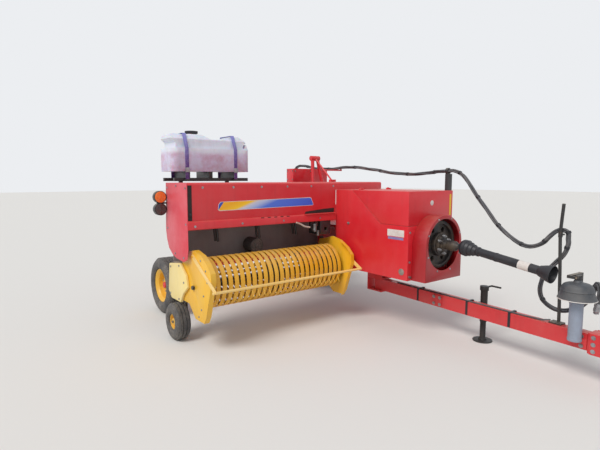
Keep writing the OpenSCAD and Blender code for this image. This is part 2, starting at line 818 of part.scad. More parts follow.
// Moulded tank: a lower half with a ledge all round, an upper half set in with a saddle in its
// top and a sloping left end with a hand hole, and a screw cap
module tank() {
    corner_r = 90;
    cap_x = tank_x0 + 330;
    color("#e9ecef") difference() {
        union() {
            translate([tank_x0 + corner_r, tank_y0 + corner_r, tank_z0])
                linear_extrude(tank_ledge_z - tank_z0) offset(r = corner_r)
                    square([tank_len - 2 * corner_r, tank_d - 2 * corner_r]);
            intersection() {
                side_plate([tank_x0 + 2, -tank_x - 2]) polygon([
                    [tank_y0 + tank_inset, tank_ledge_z - 1],
                    [tank_y0 + tank_inset + 8, tank_z1 - 65],
                    [tank_y0 + tank_inset + 75, tank_z1],
                    [tank_y1 - tank_inset - 75, tank_z1],
                    [tank_y1 - tank_inset - 8, tank_z1 - 65],
                    [tank_y1 - tank_inset, tank_ledge_z - 1]]);
                translate([0, tank_y1, 0]) rotate([90, 0, 0]) linear_extrude(tank_d) polygon([
                    [tank_x0 + 55, tank_ledge_z - 2], [tank_x0 + 60, tank_z1 - 110],
                    [tank_x0 + 10, tank_z1 - 60], [tank_x0 + 12, tank_z1 - 15],
                    [tank_x0 + 60, tank_z1 - 2], [tank_x0 + 200, tank_z1 - 8],
                    [tank_x0 + 250, tank_z1], [tank_x0 + 410, tank_z1],
                    [tank_x0 + 520, tank_z1 - 58], [-tank_x - 380, tank_z1 - 62],
                    [-tank_x - 230, tank_z1 - 8], [-tank_x - 120, tank_z1 - 2],
                    [-tank_x - 60, tank_z1 - 50], [-tank_x - 6, tank_ledge_z - 2]]);
            }
            rod_z([tank_z1 - 10, tank_z1 + 18], cap_x, (tank_y0 + tank_y1) / 2, 66);
            rod_z([tank_z1 + 17, tank_z1 + 45], cap_x, (tank_y0 + tank_y1) / 2, 78);
        }
        translate([-tank_x - 62, tank_y0 - 1, tank_z1 - 118]) rotate([0, 25, 0])
            block([-14, 14], [0, tank_d + 2], [-34, 34]);
    }
}

// Two rails and their cross bearers below the tank, on legs from the axle
module tank_frame() {
    bed_z = tank_z0 - 75;
    legs = [tank_x0 + 180, -tank_x - 220];
    color(dark) {
        for (y = [tank_y0 + 40, tank_y1 - 80]) {
            block([tank_x0 + 30, -tank_x - 20], [y, y + 40], [bed_z - 40, bed_z]);
        }
        for (x = [legs[0], tank_x0 + 470, legs[1]]) {
            block([x, x + 40], [tank_y0 + 30, tank_y1 - 30], [bed_z - 1, tank_z0 - fit_gap]);
        }
        for (x = legs) {
            block([x, x + 40], [axle_y - 40, axle_y], [frame_z, bed_z]);
            block([x, x + 40], [tank_y0 + 40, tank_y1 - 40], [bed_z - 40, bed_z]);
        }
        for (x = strap_xs) {
            for (y = [tank_y0 - 4, tank_y1 - 36]) {
                block([x - 2, x + strap_w + 2], [y, y + 40], [bed_z - 40, bed_z - 16]);
            }
            block([x, x + strap_w], [tank_y0 + 35, tank_y1 - 35], [bed_z - 40, bed_z - 16]);
        }
    }
}

// Two bands over the tank, down to the rails
module tank_straps() {
    color("#5a4fa0") for (x = strap_xs) {
        side_plate([x, x + strap_w]) difference() {
            offset(delta = 4) strap_line();
            offset(delta = fit_gap) strap_line();
            translate([tank_y0 - 10, tank_z0 - 20]) square([tank_d + 20, 19.4]);
        }
        for (y = [tank_y0 - 4, tank_y1 + fit_gap]) {
            block([x, x + strap_w], [y, y + 3.7], [tank_z0 - 91 + fit_gap, tank_z0 + 1]);
        }
    }
}

// Two round lamps on a bracket behind the end panel
module lamps() {
    color("#e8820c") rod_y([lamp_y - 30, lamp_y + 24], -lamp_x, lamp_zs[0], lamp_r);
    color(dark) {
        rod_y([lamp_y - 30, lamp_y + 24], -lamp_x, lamp_zs[1], lamp_r);
        block([-lamp_x - 20, -lamp_x + 20], [lamp_y + 23, lamp_y + 29],
            [lamp_zs[1] - 40, lamp_zs[0] + 40]);
        block([-lamp_x, -panel_out], [lamp_y - 15, lamp_y - 9], [1375, 1392]);
    }
}

twine_x = [rail_out + 4, 640];
twine_ys = [knotter_y + 10, knotter_y + 830];
twine_zs = [850, 1240];
twine_hinges = [twine_ys[0] + 300, twine_ys[1] - 120];
twine_pin = [twine_x[0] - 9, twine_zs[1] + 4];

// Open box for balls of twine beside the case
module twine_box() {
    color(red) {
        difference() {
            block(twine_x, twine_ys, twine_zs);
            block([twine_x[0] + sheet_t, twine_x[1] - sheet_t],
                [twine_ys[0] + sheet_t, twine_ys[1] - sheet_t], [twine_zs[0] + sheet_t,
                twine_zs[1] + 1]);
        }
        for (y = [twine_ys[0] + 90, twine_ys[1] - 190]) {
            block([rail_out + fit_gap, twine_x[0] + 1], [y, y + 30], [1035, 1065]);
        }
        for (y = twine_hinges) {
            difference() {
                union() {
                    block([twine_pin[0] - 9, twine_x[0] + 2],
                        [y + leaf_w + 3, y + hinge_len - leaf_w - 3],
                        [twine_zs[1] - 20, twine_zs[1] - 4]);
                    block([twine_pin[0] - 9, twine_pin[0] + 8],
                        [y + leaf_w + 3, y + hinge_len - leaf_w - 3],
                        [twine_zs[1] - 20, twine_pin[1] + 9]);
                }
                rod_y([y, y + hinge_len], twine_pin[0], twine_pin[1], hinge_r + fit_gap);
            }
        }
    }
}

// Lid of the twine box, hinged at its inner edge
module twine_lid() {
    low = twine_zs[1] + fit_gap;
    color(red) difference() {
        block(twine_x, twine_ys, [low, low + sheet_t]);
        for (y = twine_hinges) {
            block([twine_x[0] - 1, twine_x[0] + 10], [y + leaf_w, y + hinge_len - leaf_w],
                [low - 1, low + sheet_t + 1]);
        }
    }
    color(red) for (y = twine_hinges) {
        rod_y([y, y + hinge_len], twine_pin[0], twine_pin[1], hinge_r);
        for (a = [y, y + hinge_len - leaf_w]) {
            block([twine_pin[0] - 1, twine_x[0] + 1], [a, a + leaf_w], [low + 1, low + sheet_t - 1]);
        }
    }
}

// Sloping chute behind the case, hinged at its front edge
module bale_chute() {
    tip = [case_y1 + chute_len, floor_z - 126];
    start = [chute_pin[0] + 66, floor_z - 32];
    color(red) {
        side_plate([-case_half, case_half]) polygon([chute_pin + [0, 4], tip + [0, 6], tip,
            chute_pin + [0, -2]]);
        for (x = [-case_half, case_half - sheet_t]) {
            side_plate([x, x + sheet_t]) polygon([start, start + [0, 28], tip + [0, 28], tip]);
        }
        rod_x([-case_half - 12, case_half + 12], chute_pin[0], chute_pin[1], 10);
    }
}

band_c = [reel_y + 30, reel_z + 25];
band_t = 4;
band_x0 = -pickup_right + 60;
band_x1 = -pickup_left - 60;
band_pitch = (band_x1 - band_x0 - band_w) / (band_n - 1);
tail_end = [reel_y + 275, reel_z + 206];
heel = [reel_y + 320, reel_z - 110];

// One stripper band: a front arc, a top tail to the table and a heel below
module band_outline() {
    low = [band_c[0], band_c[1] - band_r];
    high = [band_c[0], band_c[1] + band_r];
    difference() {
        translate(band_c) circle(r = band_r, $fn = 96);
        translate(band_c) circle(r = band_r - band_t, $fn = 96);
        translate([band_c[0], band_c[1] - band_r - 1]) square([band_r + 1, 2 * band_r + 2]);
    }
    polygon([high - [1, 0], tail_end, tail_end - [0, band_t], high - [1, band_t]]);
    polygon([low - [1, 0], heel, heel + [0, band_t], low + [-1, band_t]]);
}

// Stripper bands with the angles that join them
module stripper_bands() {
    span = [band_x0, band_x1];
    color(yellow) {
        for (i = [0:band_n - 1]) {
            x = band_x0 + i * band_pitch;
            side_plate([x, x + band_w]) band_outline();
        }
        block(span, [tail_end[0] - 22, tail_end[0]], [tail_end[1] - 26, tail_end[1] - 1]);
        block(span, [heel[0] - 6, heel[0] + 4], [heel[1] - 2, heel[1] + 40]);
    }
}

// Pin and rod of the wind guard, in Y and Z
guard_pin = [reel_y, reel_z + 300];
guard_rod = [reel_y - 460, reel_z + 40];

// Yellow end sheets of the pickup
module pickup_sheets() {
    color(yellow) {
        for (x = [-pickup_right, -pickup_left - 5]) {
            difference() {
                translate([0, reel_y, reel_z]) side_plate([x, x + 5]) polygon([[-19, 360],
                    [-171, 329], [-288, 261], [-360, 190], [-370, 100], [-325, -30],
                    [-257, -230], [-210, -300], [-20, -300], [120, -180], [360, -180],
                    [360, 40], [285, 112], [240, 300]]);
                rod_x([x - 1, x + 6], reel_y, reel_z, 20 + fit_gap);
            }
        }
        rod_x([-pickup_right - 14, -pickup_right + 1], guard_pin[0], guard_pin[1], 10);
        rod_x([-pickup_left - 1, -pickup_left + 14], guard_pin[0], guard_pin[1], 10);
    }
}

// Cross tube of the pickup with its hinge arms and the gauge wheel arm
module pickup_frame() {
    beam_z = reel_z - 100;
    color(dark) {
        block([-pickup_right + 5 + fit_gap, -pickup_left - 5 - fit_gap],
            [heel[0] + 4 + fit_gap, heel[0] + 70], [beam_z, beam_z + 65]);
        for (x = lift_xs) {
            side_plate([x + 22, x + 38]) polygon([[heel[0] + 60, beam_z + 10],
                [lift_y + 26, lift_z - 20], [lift_y + 26, lift_z + 20],
                [lift_y - 22, lift_z + 20], [heel[0] + 60, beam_z + 65]]);
            rod_x([x - 4, x + 40], lift_y, lift_z, 15);
        }
        block([-gauge_x + 12, -gauge_x + 24], [gauge_y - 24, gauge_y + 24],
            [gauge_r - 24, beam_z + 1]);
        rod_x([-gauge_x - gauge_w + 10, -gauge_x + 13], gauge_y, gauge_r, 12);
    }
}

// Pale shield over the pickup drive, outside the outer sheet
module drive_shield() {
    color(pale_yellow) translate([0, reel_y, reel_z])
        side_plate([-hood_right + 8, -pickup_right - fit_gap]) polygon([[540, 160],
            [270, 200], [127, 96], [88, -16], [200, -100], [270, -200], [500, -200],
            [580, -130]]);
}

// Reel: shaft, discs, tine bars and spring tines in the gaps between the bands
module pickup_reel() {
    bar_r = 165;
    color(dark) translate([0, reel_y, reel_z]) {
        rod_x([-pickup_right - 20, -pickup_left + 20], 0, 0, 20);
        for (x = [band_x0 - 30, (band_x0 - pickup_left) / 2, -pickup_left - 60]) {
            rod_x([x, x + 8], 0, 0, bar_r + 16);
        }
        for (b = [0:bar_n - 1]) {
            rotate([b * 360 / bar_n + 20, 0, 0]) {
                rod_x([band_x0 - 30, -pickup_left - 52], bar_r, 0, 13);
                for (i = [0:band_n - 2]) {
                    x = band_x0 + band_w + i * band_pitch + (band_pitch - band_w) / 2;
                    strut([x, bar_r, 0], [x, bar_r + 60, 10], 4, $fn = 6);
                    strut([x, bar_r + 58, 9], [x, tine_r - 6, -30], 4, $fn = 6);
                }
            }
        }
    }
}

// Rod before the pickup on two arms that swing up
module wind_guard() {
    color(pale_yellow) {
        rod_x([-pickup_right - 30, -pickup_left + 20], guard_rod[0], guard_rod[1], 13);
        for (x = [-pickup_right - 1 - 8, -pickup_left + 1]) {
            difference() {
                side_plate([x, x + 8]) polygon([guard_pin + [20, 12], guard_pin + [12, -20],
                    guard_rod + [12, -16], guard_rod + [-16, 0], guard_rod + [-10, 16],
                    guard_pin + [-12, 22]]);
                rod_x([x - 1, x + 9], guard_pin[0], guard_pin[1], 10 + fit_gap);
            }
        }
    }
}

// Places the tongue's pieces: pin at the origin and the beam running to -Y
module on_tongue() {
    translate([pivot_x, pivot_y, 0]) rotate([0, 0, -tongue_deg]) children();
}

// Tongue beam with the pin bore at its rear and the hitch clevis at its front
module tongue_beam() {
    half = tongue_w / 2;
    top = tongue_z + tongue_h;
    color(red) on_tongue() difference() {
        union() {
            block([-half, half], [-tongue_len + 180, 60], [tongue_z, top]);
            block([-half - 15, half + 15], [-tongue_len + 60, -tongue_len + 240],
                [tongue_z - 14, top + 14]);
            for (z = [tongue_z + 20, top - 40]) {
                block([-hitch_half_w, hitch_half_w], [-tongue_len - hitch_ahead, -tongue_len + 70],
                    [z, z + 20]);
            }
        }
        rod_z([tongue_z - 1, top + 1], 0, 0, 24 + fit_gap);
        rod_z([tongue_z - 1, top + 1], 0, -tongue_len, 16);
    }
}

// Jack tube with its head, crank and the plate that bolts it to the beam
module jack_tube() {
    x = tongue_w / 2 + 72;
    color(dark) on_tongue() difference() {
        union() {
            rod_z([200, 520], x, -jack_y, jack_r);
            rod_z([519, 562], x, -jack_y, jack_r + 8);
            block([tongue_w / 2 + fit_gap, x - 20], [-jack_y - 40, -jack_y + 40],
                [tongue_z + 15, tongue_z + tongue_h - 10]);
            rod_x([x, x + 130], -jack_y, 545, 9);
            rod_y([-jack_y - 100, -jack_y], x + 122, 545, 9);
        }
        rod_z([199, 530], x, -jack_y, 28 + fit_gap);
    }
}

// Sliding leg of the jack with its round foot
module jack_leg() {
    x = tongue_w / 2 + 72;
    color(dark) on_tongue() {
        rod_z([8, 350], x, -jack_y, 28);
        rod_z([0, 12], x, -jack_y, 95);
        rod_z([11, 28], x, -jack_y, 40);
    }
}

support_x = -125;
front_z = 860;

// Bent rod that holds the hoses above the tongue
module hose_stand() {
    top = tongue_z + tongue_h;
    color(dark) on_tongue() {
        block([-25, 60], [-stand_y - 50, -stand_y + 50], [top + fit_gap, top + 12]);
        strut([50, -stand_y, top + 8], [90, -stand_y + 50, 1148], 9);
        strut([90, -stand_y + 50, 1160], [60, -stand_y + 20, 1420], 9);
        block([77, 103], [-stand_y + 35, -stand_y + 61], [1134, 1180]);
        rod_x([91, 155], -stand_y + 50, 1153, 8);
    }
}

// Bracket that carries the joint of the front driveline half beside the tongue
module shaft_support() {
    top = tongue_z + tongue_h;
    y = -front_y + 40;
    color(dark) on_tongue() {
        block([36, 50], [y, y + 34], [top + fit_gap, front_z + 12]);
        block([support_x - 34, 50], [y, y + 30], [front_z - 12, front_z + 12]);
        for (x = [support_x - 34, support_x + 24]) {
            difference() {
                block([x, x + 10], [-front_y - 14, y + 1], [front_z - 12, front_z + 12]);
                rod_x([x - 1, x + 11], -front_y, front_z, 9 + fit_gap);
            }
        }
    }
}

// Rear driveline half: ball guard at the universal joint, guard tube and front bell
module driveline() {
    // Fall and turn to the right of the driveline, in degrees
    fall = 8;
    turn = 3.5;
    tube_t = 6;
    guard_out = 78;
    guard_in = guard_out - 8;
    module along_drive() {
        translate([0, -joint_y, shaft_z]) rotate([fall, 0, -turn]) rotate([90, 0, 0])
            rotate_extrude() children();
    }
    color(dark) along_drive() difference() {
        circle(r = guard_out);
        circle(r = guard_in);
        translate([-80, -80]) square([80, 160]);
        translate([-80, -80]) square([160, 80 - ball_r]);
        translate([-1, 0]) square([driveline_r + fit_gap + 1, 80]);
    }
    color(dark) along_drive() {
        difference() {
            circle(r = ball_r);
            translate([-80, -80]) square([80, 160]);
        }
        translate([0, ball_r - 4]) square([16, 60]);
        translate([0, 50]) square([driveline_r, 322]);
        translate([driveline_r - tube_t, 371]) square([tube_t, driveline_len - 371]);
        polygon([[driveline_r - 1, driveline_len - 60], [76, driveline_len + 40],
            [70, driveline_len + 40], [driveline_r - 1, driveline_len - 40]]);
    }
    color(dark) rod_z([shaft_z - 36, shaft_z + 36], 0, -joint_y, 9);
}

// Front driveline half hanging from its joint beside the tongue
module pto_front() {
    color("#4a4a4c") on_tongue() translate([support_x, -front_y, front_z]) {
        rod_x([-34, 34], 0, 0, 9);
        rod_z([-170, 12], 0, 0, 16);
        difference() {
            translate([0, 0, -170]) cylinder(r1 = 140, r2 = 80, h = 110);
            translate([0, 0, -171]) cylinder(r1 = 134, r2 = 74, h = 105);
        }
        rod_z([-510, -168], 0, 0, 52);
    }
}

// Black post beside the drive box and the rear block where the hose bundle starts
module hose_post() {
    color(dark) {
        block([box_half_w + fit_gap, box_half_w + 12], [60, 110], [1060, 1150]);
        block([box_half_w + 10, box_half_w + 70], [60, 110], [1060, 1682]);
        difference() {
            rod_y([post_y - 15, post_y + 15], 405, 1712, 36);
            rod_y([post_y - 16, post_y + 16], 405, 1712, hose_r + 3);
        }
        block([box_half_w + 10, box_half_w + 60], [2985, 3035], [case_top_z + fit_gap, 1450]);
        block([rail_out - 40, box_half_w + 60], [2985, 3035], [case_top_z + fit_gap,
            case_top_z + 30]);
        block([box_half_w + 25, box_half_w + 85], [2965, 3055], [1440, 1520 - fit_gap]);
    }
}

module hoses_held() {
    color(dark) swept(held_route, hose_r);
}

module hoses_bridge() {
    color(dark) swept(bridge_route, hose_r);
}

module hoses_tongue() {
    color(dark) swept(tongue_route, hose_r);
}

place() bale_case();
place() main_frame();
place() front_box();
place() front_lid();
place() flywheel_guard();
place() flywheel();
place() gearbox();
place() hood();
place() hood_end_panel();
place() feed_table();
place() feeder_forks();
place() feed_cover();
place() plunger();
place() knotter_frame();
place() knotters();
place() knotter_cover();
place() needles();
place() density_frame();
place() metering_wheel();
place() a_frame();
place() axle();
place() rim_right();
place() tire_right();
place() rim_left();
place() tire_left();
place() tank();
place() tank_frame();
place() tank_straps();
place() lamps();
place() twine_box();
place() twine_lid();
place() bale_chute();
place() pickup_frame();
place() stripper_bands();
place() pickup_sheets();
place() drive_shield();
place() pickup_reel();
place() wind_guard();
place() gauge_rim();
place() gauge_tire();
place() tongue_beam();
place() jack_tube();
place() jack_leg();
place() hose_stand();
place() shaft_support();
place() driveline();
place() pto_front();
place() hose_post();
place() hoses_held();
place() hoses_bridge();
place() hoses_tongue();
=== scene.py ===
import math

import bmesh
import bpy
import numpy as np
from mathutils import Matrix, Vector


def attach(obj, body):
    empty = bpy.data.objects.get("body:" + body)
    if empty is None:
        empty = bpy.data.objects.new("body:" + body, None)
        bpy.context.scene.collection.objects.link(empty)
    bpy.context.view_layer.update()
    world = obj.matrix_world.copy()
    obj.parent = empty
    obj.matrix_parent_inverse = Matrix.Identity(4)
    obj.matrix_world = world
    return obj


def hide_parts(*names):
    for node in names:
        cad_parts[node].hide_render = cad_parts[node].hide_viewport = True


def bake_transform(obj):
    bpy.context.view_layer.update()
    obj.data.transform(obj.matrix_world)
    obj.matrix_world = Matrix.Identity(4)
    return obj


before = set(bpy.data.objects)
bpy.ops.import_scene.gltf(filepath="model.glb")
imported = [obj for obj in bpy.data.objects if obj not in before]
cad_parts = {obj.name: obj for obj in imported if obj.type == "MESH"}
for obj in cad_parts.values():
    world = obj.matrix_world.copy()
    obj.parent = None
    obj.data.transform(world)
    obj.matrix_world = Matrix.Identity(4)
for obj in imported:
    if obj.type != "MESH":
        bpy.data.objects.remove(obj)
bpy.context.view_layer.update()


# Camera
# The drawing of this baler counts millimetres from the middle of the drive box's front, with Y to the
# rear and X to the machine's left. The camera stands before the right front corner, at eye height.
DRAWING_SHIFT = (832.5, -1071.869, 0.0)
EYE_POINT = (-3892, -2840, 1626)
EYE_PITCH = 5.903
EYE_YAW = -37.388
EYE_LENS = 26.70
SENSOR_WIDTH = 36


def at(x, y, z):
    """A point of the drawing, as the frame counts it in metres."""
    return Vector((x + DRAWING_SHIFT[0], y + DRAWING_SHIFT[1], z)) / 1000


eye = bpy.data.cameras.new("eye")
eye.sensor_width = SENSOR_WIDTH
eye.lens = EYE_LENS
viewer = bpy.data.objects.new("viewer", eye)
viewer.location = at(*EYE_POINT)
viewer.rotation_euler = (math.radians(90 - EYE_PITCH), 0, math.radians(EYE_YAW))
bpy.context.scene.collection.objects.link(viewer)
bpy.context.scene.camera = viewer


# Hydraulic hoses
# Three rubber hoses, bound together with straps, run from the rear block along the machine to the black
# post, sag across to the stand on the tongue, and hang from it in a loop that ends in their couplers.
HOSES = 3
HOSE_RADIUS = 0.0098
HOSE_SPREAD = 0.0115
HOSE_TWIST = 1.1
FLOW_STEPS = 6
PIN_Y = 850
TONGUE_LENGTH = 2620
TONGUE_TURN = 4
HITCH_Y = PIN_Y - TONGUE_LENGTH * math.cos(math.radians(TONGUE_TURN))
STAND_Y = HITCH_Y + 510
POST_Y = 95

# The routes: points of the drawing, with Y as a share of the way from post to stand for the bridge, and from
# the hitch for the tail.
HELD_ROUTE = [(420, 3010, 1520), (420, 3010, 1590), (420, 2990, 1690), (420, 2930, 1780),
              (420, 2820, 1830), (420, 2700, 1830), (420, 2500, 1800), (420, 2250, 1775),
              (420, 1980, 1775), (420, 1700, 1790), (420, 1450, 1775), (420, 1200, 1745),
              (420, 1000, 1715), (420, 780, 1690), (420, 550, 1685), (412, 340, 1695),
              (405, 220, 1712), (405, POST_Y, 1712)]
BRIDGE_SHARES = [(405, 0, 1712), (405, 0.06, 1712), (395, 0.14, 1670), (350, 0.235, 1550),
                 (310, 0.33, 1420), (275, 0.425, 1290), (240, 0.515, 1180), (215, 0.605, 1090),
                 (195, 0.69, 1035), (185, 0.765, 1020), (180, 0.84, 1060), (178, 0.89, 1130),
                 (178, 0.93, 1178), (178, 0.965, 1192), (178, 0.99, 1186), (178, 1, 1166), (178, 1, 1120)]
BRIDGE_ROUTE = [(x, POST_Y + (STAND_Y - POST_Y) * share, z) for x, share, z in BRIDGE_SHARES]
TONGUE_SHAPE = [(178, 510, 1120), (178, 510, 1070), (178, 540, 985), (178, 610, 890), (180, 690, 780),
                (180, 720, 660), (180, 690, 560), (180, 600, 500), (180, 500, 500), (175, 390, 560),
                (170, 315, 660), (160, 270, 780), (150, 240, 720), (150, 250, 620)]
TONGUE_ROUTE = [(x, HITCH_Y + ahead, z) for x, ahead, z in TONGUE_SHAPE]


def tone(r, g, b):
    """A screen colour, 0 to 255, as the shader's own numbers."""
    linear = [c / 255 / 12.92 if c <= 10 else ((c / 255 + 0.055) / 1.055) ** 2.4 for c in (r, g, b)]
    return (*linear, 1.0)


def add(tree, kind, inputs=None, **settings):
    """One node in a tree, with its settings and what feeds it."""
    node = tree.nodes.new(kind)
    for key, value in settings.items():
        setattr(node, key, value)
    for key, value in (inputs or {}).items():
        if isinstance(value, bpy.types.NodeSocket):
            tree.links.new(value, node.inputs[key])
        else:
            node.inputs[key].default_value = value
    return node


def surface(name, **numbers):
    """A new finish: its material, its tree, its shader and the piece's own coordinates."""
    finish = bpy.data.materials.new(name)
    finish.use_nodes = True
    tree = finish.node_tree
    shader = tree.nodes["Principled BSDF"]
    for key, value in numbers.items():
        shader.inputs[key.replace("_", " ")].default_value = value
    place = add(tree, "ShaderNodeTexCoord").outputs["Object"]
    return finish, tree, shader, place


def stretched(tree, place, scale, turn=(0, 0, 0)):
    return add(tree, "ShaderNodeMapping", {"Vector": place, "Scale": scale, "Rotation": turn}).outputs[0]


def grain(tree, place, scale, detail=4.0, rough=0.6):
    return add(tree, "ShaderNodeTexNoise", {"Vector": place, "Scale": scale, "Detail": detail,
                                            "Roughness": rough}).outputs["Fac"]


def between(tree, value, low, high, to_low=0.0, to_high=1.0):
    """A value from low to high, as one that goes from to_low to to_high."""
    return add(tree, "ShaderNodeMapRange", {0: value, 1: low, 2: high, 3: to_low, 4: to_high}).outputs[0]


def times(tree, a, b):
    return add(tree, "ShaderNodeMath", {0: a, 1: b}, operation="MULTIPLY").outputs[0]


def most(tree, a, b):
    return add(tree, "ShaderNodeMath", {0: a, 1: b}, operation="MAXIMUM").outputs[0]


def plus(tree, a, b):
    return add(tree, "ShaderNodeMath", {0: a, 1: b}).outputs[0]


def coordinate(tree, vector, axis=2):
    """One coordinate of a vector: its height, unless another axis is asked for."""
    return add(tree, "ShaderNodeSeparateXYZ", {0: vector}).outputs[axis]


def blended(tree, share, a, b):
    """One colour laid over another by a share."""
    mix = tree.nodes.new("ShaderNodeMix")
    mix.data_type = "RGBA"
    for key, value in ((0, share), (6, a), (7, b)):
        if isinstance(value, bpy.types.NodeSocket):
            tree.links.new(value, mix.inputs[key])
        else:
            mix.inputs[key].default_value = value
    return mix.outputs[2]


def raised(tree, shader, *layers):
    """Bumps of the surface, each a height, a strength and a depth in metres."""
    normal = None
    for height, strength, depth in layers:
        inputs = {"Height": height, "Strength": strength, "Distance": depth}
        if normal:
            inputs["Normal"] = normal
        normal = add(tree, "ShaderNodeBump", inputs).outputs[0]
    tree.links.new(normal, shader.inputs["Normal"])


def edges(tree, radius):
    """1 along the edges of the sheet metal, 0 on its flats."""
    eased = add(tree, "ShaderNodeBevel", {"Radius": radius}, samples=4).outputs[0]
    flat = add(tree, "ShaderNodeNewGeometry").outputs["Normal"]
    same = add(tree, "ShaderNodeVectorMath", {0: eased, 1: flat}, operation="DOT_PRODUCT").outputs["Value"]
    return between(tree, same, 0.999, 0.97)


def upward(tree, low=0.3, high=0.95):
    """1 on what faces the sky, where dust and chaff settle."""
    normal = add(tree, "ShaderNodeNewGeometry").outputs["Normal"]
    return between(tree, coordinate(tree, normal), low, high)


DUST = tone(176, 158, 128)


def rubber(name, colour, dusty, scale=90.0):
    """Old hose or tyre rubber with dust in its pores."""
    finish, tree, shader, place = surface(name, Specular_IOR_Level=0.35)
    cloud = between(tree, grain(tree, place, 5.0), 0.35, 0.7)
    fine = grain(tree, place, scale, 8.0, 0.7)
    film = times(tree, cloud, between(tree, fine, 0.3, 0.7))
    film = most(tree, film, times(tree, upward(tree, 0.2, 1.0), between(tree, fine, 0.35, 0.75, 0.0, 0.8)))
    tree.links.new(blended(tree, film, colour, dusty), shader.inputs["Base Color"])
    tree.links.new(between(tree, film, 0.0, 1.0, 0.55, 0.9), shader.inputs["Roughness"])
    raised(tree, shader, (fine, 0.25, 0.0008))
    return finish


def flowing(points, steps=FLOW_STEPS):
    """Points of the drawing joined by one smooth line."""
    p = [np.array(q, float) for q in points]
    p = [2 * p[0] - p[1]] + p + [2 * p[-1] - p[-2]]
    line = []
    for i in range(1, len(p) - 2):
        for t in np.linspace(0, 1, steps, endpoint=False):
            a, b, c, d = p[i - 1:i + 3]
            line.append(0.5 * (2 * b + (c - a) * t + (2 * a - 5 * b + 4 * c - d) * t ** 2
                               + (3 * b - a - 3 * c + d) * t ** 3))
    line.append(p[-2])
    return [at(*q) for q in line]


def beside(line, offset, angle, twist):
    """A line that winds round another one at a distance, as a strand in a bundle does."""
    side = Vector((1, 0, 0))
    run, found = 0.0, []
    for i, point in enumerate(line):
        ahead = (line[min(i + 1, len(line) - 1)] - line[max(i - 1, 0)]).normalized()
        side = (side - ahead * side.dot(ahead)).normalized()
        up = ahead.cross(side)
        turn = angle + math.tau * run / twist
        found.append(point + (side * math.cos(turn) + up * math.sin(turn)) * offset)
        if i + 1 < len(line):
            run += (line[i + 1] - point).length
    return found


def recipe(name, **sizes):
    """A Geometry Nodes tree with a named input for each of its sizes."""
    tree = bpy.data.node_groups.new(name, "GeometryNodeTree")
    tree.interface.new_socket(name="Geometry", in_out="INPUT", socket_type="NodeSocketGeometry")
    for label, value in sizes.items():
        kind = "NodeSocketInt" if isinstance(value, int) else "NodeSocketFloat"
        tree.interface.new_socket(name=label, in_out="INPUT", socket_type=kind).default_value = value
    tree.interface.new_socket(name="Finish", in_out="INPUT", socket_type="NodeSocketMaterial")
    tree.interface.new_socket(name="Geometry", in_out="OUTPUT", socket_type="NodeSocketGeometry")
    return tree, tree.nodes.new("NodeGroupInput").outputs


def served(tree, given, geometry):
    """Ends a tree: its copies made real and given their finish."""
    real = add(tree, "GeometryNodeRealizeInstances", {"Geometry": geometry}).outputs[0]
    coated = add(tree, "GeometryNodeSetMaterial", {"Geometry": real, "Material": given["Finish"]})
    add(tree, "NodeGroupOutput", {0: coated.outputs[0]})


def settled(obj):
    """The piece's modifiers made part of its mesh."""
    bpy.context.view_layer.update()
    graph = bpy.context.evaluated_depsgraph_get()
    mesh = bpy.data.meshes.new_from_object(obj.evaluated_get(graph))
    obj.modifiers.clear()
    obj.data = mesh
    return obj


def placed(name, mesh):
    """An object for a mesh, at the origin."""
    obj = bpy.data.objects.new(name, mesh)
    bpy.context.scene.collection.objects.link(obj)
    return obj


def grown(name, mesh, tree, finish, **sizes):
    """A mesh put through a Geometry Nodes tree."""
    obj = placed(name, mesh)
    grow = obj.modifiers.new("grow", "NODES")
    grow.node_group = tree
    values = {**sizes, "Finish": finish}
    for item in tree.interface.items_tree:
        if item.in_out == "INPUT" and item.name in values:
            grow[item.identifier] = values[item.name]
    return settled(obj)


def path_mesh(lines):
    """Open lines as a mesh of edges."""
    mesh = bpy.data.meshes.new("path")
    points, pairs = [], []
    for line in lines:
        start = len(points)
        points += [tuple(p) for p in line]
        pairs += [(start + i, start + i + 1) for i in range(len(line) - 1)]
    mesh.from_pydata(points, pairs, [])
    return mesh


tubing, given = recipe("tubing", Radius=0.01, Sides=14)
spine = add(tubing, "GeometryNodeMeshToCurve", {0: given["Geometry"]}).outputs[0]
section = add(tubing, "GeometryNodeCurvePrimitiveCircle",
              {"Resolution": given["Sides"], "Radius": given["Radius"]}).outputs[0]
wall = add(tubing, "GeometryNodeCurveToMesh", {"Curve": spine, "Profile Curve": section, "Fill Caps": True}).outputs[0]
served(tubing, given, wall)


def smoothed(obj, angle):
    """Soft shading, but for the edges that turn by more than an angle."""
    obj.data.shade_smooth()
    obj.data.set_sharp_from_angle(angle=math.radians(angle))


def dressed(obj, body, slot, *nodes, soft=None):
    """Shades a finished piece and hangs it on its body, in place of the CAD nodes it stands for."""
    if soft is not None:
        smoothed(obj, soft)
    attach(obj, body)
    if nodes:
        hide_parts(*nodes)
    return obj


